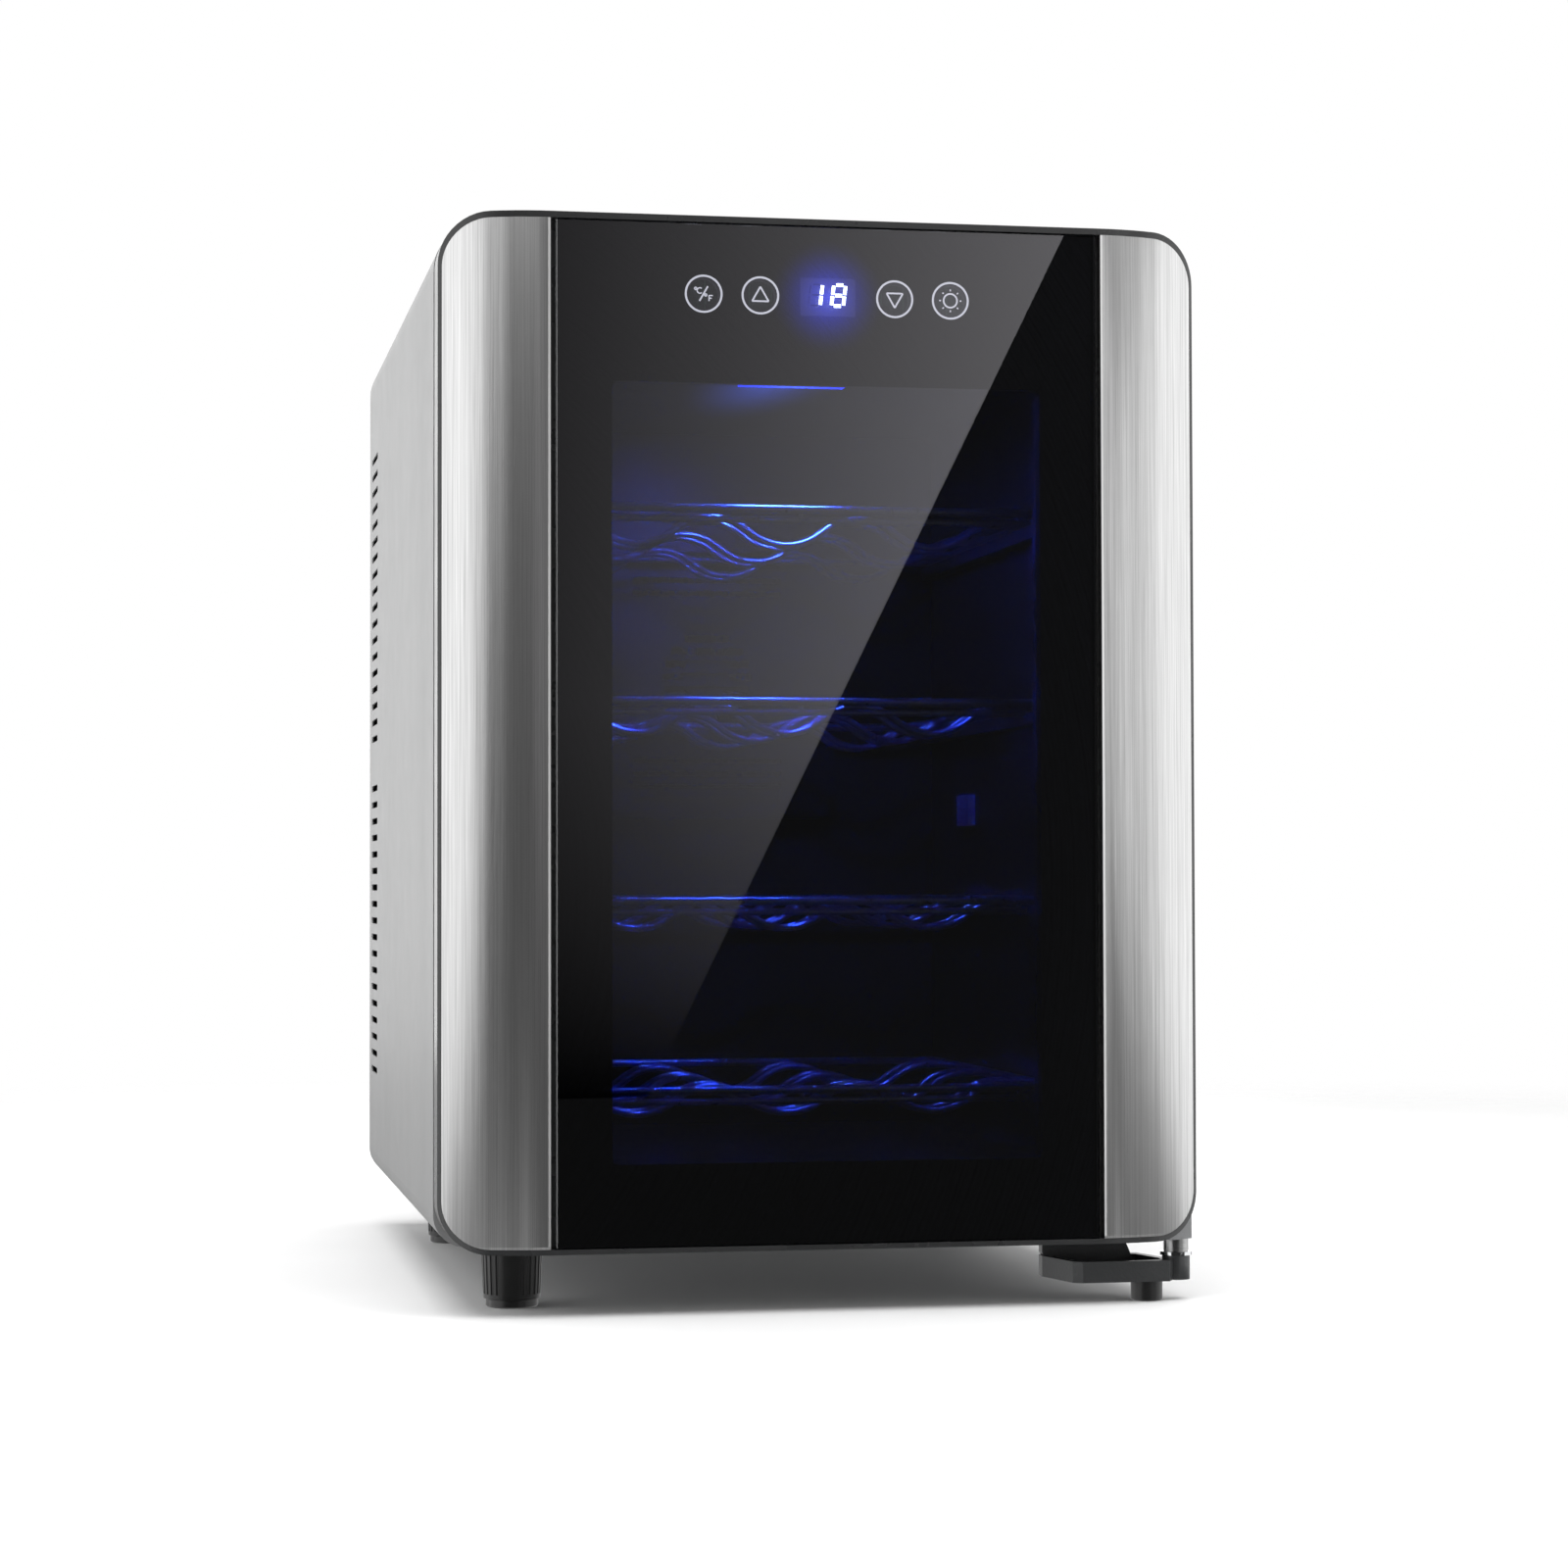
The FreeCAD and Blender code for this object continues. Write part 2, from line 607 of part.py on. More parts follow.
def insulation_foam():
    """Rigid foam that fills the space between wrap, floor, liner and bulkhead."""
    low = CABINET_FLOOR + SHEET + BASE_SHEET
    block = rounded_prism(HALF_WIDTH - SHEET, low, CABINET_TOP - SHEET, LOWER_CORNER_RADIUS - SHEET - 1,
                          CORNER_RADIUS - SHEET, LINER_FRONT, BULKHEAD_DEPTH)
    block = block.cut(liner_outside())
    block = block.cut(liner_outline(-1, LINER_FRONT - 1, LINER_BACK))
    window = MODULE_SIZE / 2 + 2
    block = block.cut(unit_block(window, window, POCKET_BACK - 1, BULKHEAD_DEPTH + 1))
    for x, depth in foot_places():
        block = block.cut(round_z(x, depth, STUD_RADIUS + 3.2, low - 1, CABINET_FLOOR + STUD_LENGTH + 3.5))
    for place in (BASE_SCREWS, BRACKET_SCREWS):
        block = block.cut(holes(place, SCREW_RADIUS + 0.2, SCREW_LENGTH + 3, UP))
    block = block.cut(holes(ARM_SCREWS, SCREW_RADIUS + 0.2, SCREW_LENGTH + 3, REARWARD))
    return block


def rear_bulkhead():
    """Steel sheet behind the foam, which carries the cooling unit."""
    low = CABINET_FLOOR + SHEET + BASE_SHEET + SEAT_GAP
    top = CABINET_TOP - SHEET - SEAT_GAP
    plate = rounded_prism(HALF_WIDTH - SHEET - SEAT_GAP, low, top, LOWER_CORNER_RADIUS - SHEET - 1,
                          CORNER_RADIUS - SHEET, BULKHEAD_DEPTH, UNIT_BACK)
    window = MODULE_SIZE / 2 + 4
    return plate.cut(unit_block(window, window, BULKHEAD_DEPTH - 1, UNIT_BACK + 1))


def finned_sink(width, height, fins, base_front, base_back, fin_front, fin_back):
    """A base plate with upright fins on one side."""
    sink = unit_block(width / 2, height / 2, base_front, base_back)
    spacing = (width - FIN_GAUGE) / (fins - 1)
    blades = []
    for i in range(fins):
        blade = unit_block(FIN_GAUGE / 2, height / 2, fin_front, fin_back)
        blade.translate(FreeCAD.Vector(-width / 2 + FIN_GAUGE / 2 + i * spacing, 0, 0))
        blades.append(blade)
    return sink.fuse(blades)


def cold_sink():
    base_front = POCKET_BACK - SINK_BASE
    return finned_sink(COLD_SINK_WIDTH, COLD_SINK_HEIGHT, COLD_FINS, base_front, POCKET_BACK,
                       LINER_BACK + 4, base_front)


def hot_sink():
    fin_front = UNIT_BACK + SINK_BASE
    return finned_sink(HOT_SINK_WIDTH, HOT_SINK_HEIGHT, HOT_FINS, UNIT_BACK, fin_front,
                       fin_front, fin_front + HOT_FIN_DEPTH)


def cold_block():
    """Aluminium block that carries the cold through the foam."""
    half = MODULE_SIZE / 2 + 1
    return unit_block(half, half, POCKET_BACK, UNIT_BACK - MODULE_THICKNESS)


def peltier_module():
    """Thermoelectric module: two ceramic plates on a core, with a sealed rim."""
    half = MODULE_SIZE / 2
    front = UNIT_BACK - MODULE_THICKNESS
    plate = 0.8
    first = unit_block(half, half, front, front + plate)
    last = unit_block(half, half, UNIT_BACK - plate, UNIT_BACK)
    core = unit_block(half - 1, half - 1, front + plate, UNIT_BACK - plate)
    return first.fuse([core, last])


def fan_frame(size, depth, front, level, arms_at_back):
    """Square fan frame with a round duct, four corner holes and a motor seat on arms."""
    half = size / 2
    radius = half - FAN_WALL
    hub = half * FAN_HUB_SHARE
    frame = rounded_prism(half, level - half, level + half, 4.0, 4.0, front, front + depth)
    frame = frame.cut(round_y(0, level, radius, front - 1, front + depth + 1))
    seat = FAN_SEAT
    seat_front = front + depth - seat if arms_at_back else front
    spokes = [round_y(0, level, hub, seat_front, seat_front + seat)]
    for i in range(4):
        spoke = box(-FAN_SPOKE_HALF, FAN_SPOKE_HALF, seat_front, seat_front + seat,
                    level, level + radius + 0.5)
        spoke.rotate(point(0, seat_front, level), REARWARD, 45 + 90 * i)
        spokes.append(spoke)
    reach = depth * FAN_SPINDLE_SHARE
    start = seat_front - reach if arms_at_back else seat_front + seat
    spindle = round_y(0, level, FAN_SPINDLE_RADIUS, start, start + reach)
    frame = frame.fuse(spokes + [spindle])
    inset = half - FAN_HOLE_INSET
    for x in (-inset, inset):
        for z in (level - inset, level + inset):
            frame = frame.cut(round_y(x, z, SCREW_RADIUS, front - 1, front + depth + 1))
    return frame


def fan_rotor(size, depth, front, level, arms_at_back):
    """Hub cap with twisted blades that turns on the frame's spindle."""
    half = size / 2
    tip = half - FAN_WALL - FAN_CLEARANCE
    hub = half * FAN_HUB_SHARE
    seat = FAN_SEAT
    gap = 0.6
    low = front + gap if arms_at_back else front + seat + gap
    high = front + depth - seat - gap if arms_at_back else front + depth - gap
    cap = round_y(0, level, hub, low, high)
    blades = []
    middle = (low + high) / 2
    reach = (high - low) * 0.625
    half_blade = BLADE_THICKNESS / 2
    for i in range(BLADES):
        blade = box(-half_blade, half_blade, middle - reach, middle + reach, level + hub - 1, level + tip)
        blade.rotate(point(0, middle, level), UP, BLADE_TWIST)
        blade = blade.common(round_y(0, level, tip, low, high))
        blade.rotate(point(0, middle, level), REARWARD, 360.0 / BLADES * i)
        blades.append(blade)
    rotor = cap.fuse(blades)
    bore = FAN_SPINDLE_RADIUS + RUNNING_GAP
    reach = seat + depth * FAN_SPINDLE_SHARE + 0.5
    if arms_at_back:
        return rotor.cut(round_y(0, level, bore, front + depth - reach, high + 1))
    return rotor.cut(round_y(0, level, bore, low - 1, front + reach))


def inner_fan_front():
    return LINER_BACK - INNER_FAN_DEPTH + 2.0


def inner_fan_cover():
    """Slotted plastic cover over the cold sink, screwed to the liner's back wall."""
    half_width = POCKET_HALF_WIDTH + 8
    half_height = POCKET_HALF_HEIGHT + 8
    wall = 2.0
    front = inner_fan_front() - 3.0
    low = UNIT_LEVEL - half_height
    high = UNIT_LEVEL + half_height
    shell = rounded_prism(half_width, low, high, 10.0, 10.0, front, LINER_BACK - SEAT_GAP)
    shell = shell.cut(rounded_prism(half_width - wall, low + wall, high - wall, 8.0, 8.0,
                                    front + wall, LINER_BACK + 1))
    cuts = []
    fan_half = INNER_FAN_SIZE / 2 - 6
    slots = 7
    for i in range(slots):
        z = UNIT_LEVEL - fan_half + (i + 0.5) * 2 * fan_half / slots
        reach = math.sqrt(max(fan_half ** 2 - (z - UNIT_LEVEL) ** 2, 1.0))
        cuts.append(box(-reach, reach, front - 1, front + wall + 1, z - 2.0, z + 2.0))
    for side in (-1, 1):
        for i in range(4):
            z = UNIT_LEVEL + side * (half_height - 10 - 7 * i)
            cuts.append(box(-40, 40, front - 1, front + wall + 1, z - 1.5, z + 1.5))
    return shell.cut(Part.makeCompound(cuts))


def power_cover():
    """Vented tray over the supply board, on the bulkhead below the hot sink."""
    wall = COVER_SHEET
    rear = UNIT_BACK + SUPPLY_DEPTH
    tray = box(SUPPLY_LEFT, SUPPLY_RIGHT, UNIT_BACK, rear, SUPPLY_LOW, SUPPLY_HIGH)
    tray = tray.cut(box(SUPPLY_LEFT + wall, SUPPLY_RIGHT - wall, UNIT_BACK - 1, rear - wall,
                        SUPPLY_LOW + wall, SUPPLY_HIGH - wall))
    middle = (SUPPLY_LEFT + SUPPLY_RIGHT) / 2
    cuts = []
    for i in range(SUPPLY_SLOTS):
        x = middle + (i - (SUPPLY_SLOTS - 1) / 2) * SUPPLY_SLOT_PITCH - SUPPLY_SLOT / 2
        cuts.append(box(x, x + SUPPLY_SLOT, rear - 3, rear + 1,
                        SUPPLY_LOW + SUPPLY_SLOT_MARGIN, SUPPLY_HIGH - SUPPLY_SLOT_MARGIN))
    return tray.cut(Part.makeCompound(cuts))


def power_board():
    """Supply board on four posts, with its transformer, choke, relay and capacitors."""
    front = UNIT_BACK + SUPPLY_STANDOFF
    top = front + BOARD_THICKNESS
    left = SUPPLY_LEFT + SUPPLY_MARGIN
    right = SUPPLY_RIGHT - SUPPLY_MARGIN
    low = SUPPLY_LOW + SUPPLY_MARGIN
    high = SUPPLY_HIGH - SUPPLY_MARGIN
    board = box(left, right, front, top, low, high)
    parts = []
    for dx, dz, width, height, rise in (TRANSFORMER, CHOKE, RELAY):
        x = left + dx
        z = low + dz
        parts.append(box(x, x + width, top, top + rise, z, z + height))
    for dx, dz in CAPACITOR_PLACES:
        parts.append(round_y(left + dx, low + dz, CAPACITOR_RADIUS, top, top + CAPACITOR_HEIGHT))
    for x in (left + SUPPLY_MARGIN, right - SUPPLY_MARGIN):
        for z in (low + SUPPLY_MARGIN, high - SUPPLY_MARGIN):
            parts.append(round_y(x, z, SUPPLY_MARGIN / 2, UNIT_BACK, front))
    return board.fuse(parts)


def inlet_block(grow_x, grow_z, d0, d1):
    """A block round the inlet's axis, larger than the inlet's body by these margins."""
    half_width = INLET_WIDTH / 2 + grow_x
    half_height = INLET_HEIGHT / 2 + grow_z
    return box(INLET_X - half_width, INLET_X + half_width, d0, d1,
               INLET_Z - half_height, INLET_Z + half_height)


def power_inlet():
    """Three-pin appliance inlet in the rear cover, open to the back."""
    front = HUMP_BACK - INLET_DEPTH
    body = inlet_block(0, 0, front, HUMP_BACK)
    flange = inlet_block(5.0, 3.0, HUMP_BACK, HUMP_BACK + INLET_WALL)
    well = inlet_block(-INLET_WALL, -INLET_WALL, front + 2 * INLET_WALL, HUMP_BACK + INLET_WALL + 1)
    inlet = body.fuse(flange).cut(well)
    pins = []
    for dx, dz in INLET_PINS:
        pin = box(-1, 1, front + INLET_WALL + 1, HUMP_BACK - 3, -2, 2)
        pin.translate(FreeCAD.Vector(INLET_X + dx, 0, INLET_Z + dz))
        pins.append(pin)
    return inlet.fuse(pins)


def cover_hump(inset, d0, d1):
    """The raised middle of the rear cover, smaller by inset all round."""
    radius = HUMP_RADIUS - inset
    return rounded_prism(HUMP_HALF_WIDTH - inset, HUMP_FLOOR + inset, HUMP_TOP - inset,
                         radius, radius, d0, d1)


def cover_outline(inset, d0, d1):
    """The rear cover's outline inside the wrap, smaller by inset all round."""
    gap = SHEET + SLIDE_GAP + inset
    return rounded_prism(HALF_WIDTH - gap, CABINET_FLOOR + gap, CABINET_TOP - gap,
                         LOWER_CORNER_RADIUS - SHEET - inset, CORNER_RADIUS - SHEET - inset, d0, d1)


def fan_grille(rear):
    """Ring-shaped openings in front of the outer fan, left whole along three spokes."""
    fan_radius = OUTER_FAN_SIZE / 2 - FAN_WALL
    rings = []
    for i in range(GRILLE_RINGS):
        outer = fan_radius - i * GRILLE_RING_PITCH
        ring = round_y(0, UNIT_LEVEL, outer, rear, HUMP_BACK + 1)
        rings.append(ring.cut(round_y(0, UNIT_LEVEL, outer - GRILLE_RING_GAP, rear - 1, HUMP_BACK + 2)))
    grille = Part.makeCompound(rings)
    for i in range(3):
        spoke = unit_block(GRILLE_SPOKE_HALF, fan_radius + 2, rear - 1, HUMP_BACK + 2)
        spoke.rotate(point(0, rear, UNIT_LEVEL), REARWARD, 60 * i)
        grille = grille.cut(spoke)
    return grille


def rear_slots(rear):
    """Two groups of level slots, above and below the fan."""
    slots = []
    for row in range(REAR_SLOT_ROWS):
        fall = REAR_SLOT_PITCH * row
        for z in (HUMP_TOP - 24 - fall, HUMP_FLOOR + 60 + fall):
            for x in REAR_SLOT_XS:
                slots.append(box(x, x + REAR_SLOT_LENGTH, rear, HUMP_BACK + 1,
                                 z - REAR_SLOT_HALF, z + REAR_SLOT_HALF))
    return Part.makeCompound(slots)


def rear_cover():
    """Pressed cover over the rear compartment, with a raised, vented middle."""
    rim_front = CABINET_BACK - COVER_RIM
    plate = cover_outline(0, COVER_FRONT, COVER_FRONT + COVER_SHEET)
    wall = cover_outline(0, rim_front, COVER_FRONT + 0.2)
    wall = wall.cut(cover_outline(COVER_SHEET, rim_front - 1, COVER_FRONT + 1))
    hump = cover_hump(0, COVER_FRONT, HUMP_BACK)
    cover = plate.fuse([hump, wall]).cut(cover_hump(COVER_SHEET, COVER_FRONT - 1, HUMP_BACK - COVER_SHEET))
    rear = HUMP_BACK - COVER_SHEET - 1
    cover = cover.cut(fan_grille(rear))
    cover = cover.cut(rear_slots(rear))
    cover = cover.cut(inlet_block(SEAT_GAP, SEAT_GAP, rear, HUMP_BACK + 1))
    return cover.cut(holes(COVER_SCREWS, SCREW_RADIUS, SCREW_LENGTH, FORWARD))


def wall_spacers():
    """Two stepped plastic posts that keep the back away from a wall."""
    posts = []
    length = TOTAL_DEPTH - HUMP_BACK
    for side in (-1, 1):
        post = Part.makeCone(SPACER_POST_RADIUS, SPACER_POST_RADIUS * 0.7, length,
                             point(side * SPACER_POST_X, HUMP_BACK, SPACER_POSTS_Z), REARWARD)
        posts.append(post)
    return Part.makeCompound(posts)


def lamp_block(inset, z0, z1):
    """A block within the lamp's outline, smaller by inset on every side."""
    return box(-LAMP_HALF_WIDTH + inset, LAMP_HALF_WIDTH - inset,
               LAMP_FRONT + inset, LAMP_FRONT + LAMP_DEPTH - inset, z0, z1)


def lamp_housing():
    """Shallow plastic housing under the ceiling of the liner."""
    low = LINER_CEILING - LAMP_HEIGHT
    shell = lamp_block(0, low, LINER_CEILING)
    return shell.cut(lamp_block(LAMP_WALL, low - 1, LINER_CEILING - LAMP_WALL))


def lamp_board():
    """Strip board with three light-emitting diodes."""
    high = LINER_CEILING - LAMP_WALL
    under = high - BOARD_THICKNESS
    board = box(-LAMP_HALF_WIDTH + 3, LAMP_HALF_WIDTH - 3, LAMP_FRONT + 6, LAMP_FRONT + LAMP_DEPTH - 6,
                under, high)
    middle = LAMP_FRONT + LAMP_DEPTH / 2
    chips = [box(x - DIODE_HALF, x + DIODE_HALF, middle - DIODE_HALF, middle + DIODE_HALF,
                 under - DIODE_HEIGHT, under) for x in DIODE_XS]
    return board.fuse(chips)


def lamp_lens():
    """Frosted lens that closes the lamp housing."""
    top = LINER_CEILING - LAMP_HEIGHT
    plug = lamp_block(LAMP_WALL + SEAT_GAP, top, top + LENS_THICKNESS)
    lens = lamp_block(1, top - LENS_THICKNESS, top)
    return lens.fuse(plug)


def temperature_sensor():
    """Small vented sensor cap on the right wall of the liner."""
    rear = SENSOR_FRONT + SENSOR_LENGTH
    level = (SHELF_LEVELS[1] + SHELF_LEVELS[2]) / 2
    face = LINER_HALF_WIDTH - SENSOR_THICKNESS
    cap = box(face, LINER_HALF_WIDTH, SENSOR_FRONT, rear,
              level - SENSOR_HALF_HEIGHT, level + SENSOR_HALF_HEIGHT)
    cuts = []
    for rise in SENSOR_SLOT_RISES:
        low = level + rise - SENSOR_SLOT / 2
        cuts.append(box(face - 1, face + 1.5, SENSOR_FRONT + 3, rear - 3, low, low + SENSOR_SLOT))
    return cap.cut(Part.makeCompound(cuts))


def outline_prism(corners, z0, z1):
    """An upright block over a polygon of (x, depth) corners."""
    places = [point(x, depth, z0) for x, depth in corners]
    return Part.Face(Part.makePolygon(places + [places[0]])).extrude(FreeCAD.Vector(0, 0, z1 - z0))


def lower_hinge_arm():
    """Hollow arm from the riser out to the hinge boss."""
    wall = BRACKET_WALL
    outer = [
        (BRACKET_LEFT, RISER_DEPTH + RISER_THICKNESS), (BRACKET_LEFT, RISER_DEPTH),
        (BRACKET_ARM_LEFT, BRACKET_FRONT + wall), (BRACKET_ARM_LEFT + 4, BRACKET_FRONT),
        (HINGE_X - 6, BRACKET_FRONT), (HINGE_X, HINGE_DEPTH),
        (BRACKET_RIGHT + 6, HINGE_DEPTH + BOSS_RADIUS), (BRACKET_RIGHT, RISER_DEPTH + RISER_THICKNESS),
    ]
    inner = [
        (BRACKET_LEFT + 3.5, RISER_DEPTH), (BRACKET_ARM_LEFT + 3, BRACKET_FRONT + 6),
        (BRACKET_ARM_LEFT + 7, BRACKET_FRONT + wall), (HINGE_X - 9, BRACKET_FRONT + wall),
        (HINGE_X - 8, HINGE_DEPTH), (BRACKET_RIGHT - 2, RISER_DEPTH),
    ]
    arm = outline_prism(outer, BRACKET_FLOOR, BRACKET_TOP - wall / 2)
    return arm.cut(outline_prism(inner, BRACKET_FLOOR + wall, BRACKET_TOP + 1))


def lower_hinge_bracket():
    """Cast bracket: a plate under the floor, a riser, and a hollow arm out to the hinge boss."""
    boss = round_z(HINGE_X, HINGE_DEPTH, BOSS_RADIUS, BRACKET_FLOOR, BRACKET_TOP)
    corners = [
        point(BRACKET_LEFT, RISER_DEPTH, CABINET_FLOOR), point(BRACKET_RIGHT - 8, RISER_DEPTH, CABINET_FLOOR),
        point(BRACKET_RIGHT, RISER_DEPTH, BRACKET_FLOOR), point(BRACKET_LEFT + 6, RISER_DEPTH, BRACKET_FLOOR),
        point(BRACKET_LEFT, RISER_DEPTH, BRACKET_TOP),
    ]
    riser = Part.Face(Part.makePolygon(corners + [corners[0]]))
    riser = riser.extrude(FreeCAD.Vector(0, RISER_THICKNESS, 0))
    plate = box(BRACKET_LEFT, BRACKET_RIGHT - 2, RISER_DEPTH, BRACKET_BACK,
                CABINET_FLOOR - BRACKET_WALL, CABINET_FLOOR)
    bracket = lower_hinge_arm().fuse([boss, riser, plate])
    bracket = bracket.cut(round_z(HINGE_X, HINGE_DEPTH, LOWER_PIN_RADIUS, BRACKET_FLOOR + 2, BRACKET_TOP + 1))
    bracket = bracket.cut(round_z(HINGE_FOOT_X, HINGE_FOOT_DEPTH, HINGE_SPIGOT_RADIUS,
                                  BRACKET_FLOOR - 1, BRACKET_FLOOR + 2.2))
    return bracket.cut(holes(BRACKET_SCREWS, SCREW_RADIUS, 2 * BRACKET_WALL, UP))


def lower_hinge_pin():
    return round_z(HINGE_X, HINGE_DEPTH, LOWER_PIN_RADIUS, BRACKET_FLOOR + 2, DOOR_BOTTOM + 13)


def hinge_washer():
    washer = round_z(HINGE_X, HINGE_DEPTH, WASHER_RADIUS, BRACKET_TOP, BRACKET_TOP + WASHER_THICKNESS)
    return washer.cut(round_z(HINGE_X, HINGE_DEPTH, LOWER_PIN_RADIUS, BRACKET_TOP - 1, BRACKET_TOP + 5))


def bottom_edges(shape):
    """The edges of a shape that lie on the floor."""
    return [e for e in shape.Edges if abs(e.BoundBox.ZMax) < 0.01]


def hinge_foot():
    """Plain round foot under the bracket's arm, with a spigot in the arm's floor."""
    foot = round_z(HINGE_FOOT_X, HINGE_FOOT_DEPTH, HINGE_FOOT_RADIUS, 0, BRACKET_FLOOR)
    foot = foot.makeChamfer(PAD_CHAMFER, bottom_edges(foot))
    spigot = round_z(HINGE_FOOT_X, HINGE_FOOT_DEPTH, HINGE_SPIGOT_RADIUS - SEAT_GAP,
                     BRACKET_FLOOR, BRACKET_FLOOR + 2)
    return foot.fuse(spigot)


def lower_hinge_block():
    """Metal block in the door's lower corner that holds the hinge bushing."""
    block = box(HINGE_X - 6.2, HINGE_X + 6.6, 8, HINGE_DEPTH + 7.5, DOOR_BOTTOM, DOOR_BOTTOM + 16)
    return block.common(bowed_block(PANEL_GAUGE + 0.5, DOOR_BOTTOM - 1, DOOR_TOP, DOOR_THICKNESS))


def lower_hinge_bushing():
    """Flanged steel bushing pressed up into the hinge block."""
    low = BRACKET_TOP + WASHER_THICKNESS + SEAT_GAP
    collar = round_z(HINGE_X, HINGE_DEPTH, BUSHING_RADIUS, low, DOOR_BOTTOM)
    sleeve = round_z(HINGE_X, HINGE_DEPTH, LOWER_PIN_RADIUS + 1.0, DOOR_BOTTOM, DOOR_BOTTOM + SLEEVE_HEIGHT)
    bore = round_z(HINGE_X, HINGE_DEPTH, LOWER_PIN_RADIUS + RUNNING_GAP, low - 1, DOOR_BOTTOM + 13.3)
    return collar.fuse(sleeve).cut(bore)


def arm_slot():
    """The space in the door's edge that the upper hinge arm sweeps as the door opens."""
    gap = 1.0
    low = ARM_FLOOR - gap
    high = ARM_FLOOR + ARM_THICKNESS + gap
    front = HINGE_DEPTH - ARM_WIDTH / 2 - SLIDE_GAP
    slot = box(HINGE_X - 13, HALF_WIDTH + 2, front, DOOR_THICKNESS + 1, low, high)
    return slot.fuse(round_z(HINGE_X, HINGE_DEPTH, UPPER_PIN_RADIUS + 1.9, low, high))


def upper_hinge_bracket():
    """Thin arm that reaches forward from a plate on the front flange, with the pin riveted in its eye."""
    reach = (CABINET_FRONT - ARM_PLATE - HINGE_DEPTH) / math.cos(math.radians(ARM_ANGLE)) + 1.5
    top = ARM_FLOOR + ARM_THICKNESS
    arm_corner = point(HINGE_X - ARM_WIDTH / 2, HINGE_DEPTH, ARM_FLOOR)
    arm = Part.makeBox(ARM_WIDTH, reach, ARM_THICKNESS, arm_corner)
    arm.rotate(point(HINGE_X, HINGE_DEPTH, ARM_FLOOR), UP, ARM_ANGLE)
    arm = arm.common(box(GASKET_OUTER, HALF_WIDTH, 0, CABINET_FRONT - 0.5, ARM_FLOOR - 1, top + 1))
    eye = round_z(HINGE_X, HINGE_DEPTH, UPPER_PIN_RADIUS + 1.2, ARM_FLOOR, top)
    plate = box(GASKET_OUTER + 1.0, HALF_WIDTH - 3.0, CABINET_FRONT - ARM_PLATE, CABINET_FRONT,
                ARM_FLOOR - 19, ARM_FLOOR + 20)
    pin = round_z(HINGE_X, HINGE_DEPTH, UPPER_PIN_RADIUS, ARM_FLOOR, top + UPPER_PIN_RISE)
    bracket = arm.fuse([eye, plate, pin])
    bracket = bracket.cut(holes(ARM_SCREWS, SCREW_RADIUS, 2 * ARM_PLATE, REARWARD))
    return bracket.cut(countersunk_heads(ARM_SCREWS, SCREW_RADIUS, FLAT_HEAD_RADIUS, REARWARD))


def upper_hinge_sleeve():
    """The solid outline of the upper bushing, used to seat it in the door."""
    low = ARM_FLOOR + ARM_THICKNESS + 1.0
    return round_z(HINGE_X, HINGE_DEPTH, UPPER_PIN_RADIUS + UPPER_SLEEVE_WALL, low, low + SLEEVE_HEIGHT)


def upper_hinge_bushing():
    bore_top = ARM_FLOOR + ARM_THICKNESS + UPPER_PIN_RISE + 0.6
    bore = round_z(HINGE_X, HINGE_DEPTH, UPPER_PIN_RADIUS + RUNNING_GAP, ARM_FLOOR, bore_top)
    return upper_hinge_sleeve().cut(bore)


def window_block(margin, d0, d1, radius):
    return rounded_prism(WINDOW_HALF_WIDTH + margin, WINDOW_SILL - margin, WINDOW_HEAD + margin,
                         radius, radius, d0, d1)


def door_frame():
    """Dark plastic door shell: a thin lip round the front and a hollow body behind the panels."""
    body = door_block(0, (0, 0, 0), DOOR_THICKNESS)
    seat = PANEL_GAUGE + SEAT_GAP
    recess = door_block(-3, (LIP_SIDE, LIP_BOTTOM, LIP_TOP), DOOR_THICKNESS)
    recess = recess.cut(bowed_block(seat, DOOR_BOTTOM - 6, DOOR_TOP + 6, DOOR_THICKNESS + 3))
    body = body.cut(recess)
    groove_half = PANEL_EDGE + SEAT_GAP
    body = body.cut(box(-groove_half, groove_half, -2, GLASS_BACK + SEAT_GAP, DOOR_BOTTOM + LIP_BOTTOM,
                        DOOR_TOP - LIP_TOP))
    hollow = door_block(seat + DOOR_WALL, (DOOR_WALL, DOOR_WALL, DOOR_WALL), DOOR_THICKNESS + 1)
    front_wall = GLASS_BACK + SEAT_GAP + DOOR_WALL
    hollow = hollow.common(box(-HALF_WIDTH, HALF_WIDTH, front_wall, DOOR_THICKNESS + 1,
                               DOOR_BOTTOM, DOOR_TOP))
    hollow = hollow.cut(window_block(OPENING_MARGIN + DOOR_WALL, 0, INNER_FRAME_FRONT - SEAT_GAP, 8.0))
    boss = round_z(HINGE_X, HINGE_DEPTH, UPPER_PIN_RADIUS + 3.6, ARM_FLOOR + 2, DOOR_TOP - 2)
    boss = boss.common(bowed_block(seat, DOOR_BOTTOM, DOOR_TOP, DOOR_THICKNESS))
    boss = boss.common(door_block(0, (0.5, 0.5, 0.5), DOOR_THICKNESS))
    body = body.cut(hollow).fuse(boss)
    body = body.cut(window_block(OPENING_MARGIN, -1, DOOR_THICKNESS + 1, 6.0))
    half = DISPLAY_WIDTH / 2 + 1
    body = body.cut(controls_block(-half, half, DISPLAY_HEIGHT / 2 + 1, 0, front_wall + 1))
    for x in TOUCH_XS:
        body = body.cut(round_y(x, CONTROLS_LEVEL, TOUCH_RADIUS + 1, 0, front_wall + 1))
    body = body.cut(arm_slot())
    body = body.cut(lower_hinge_block())
    return body.cut(upper_hinge_sleeve()).removeSplitter()


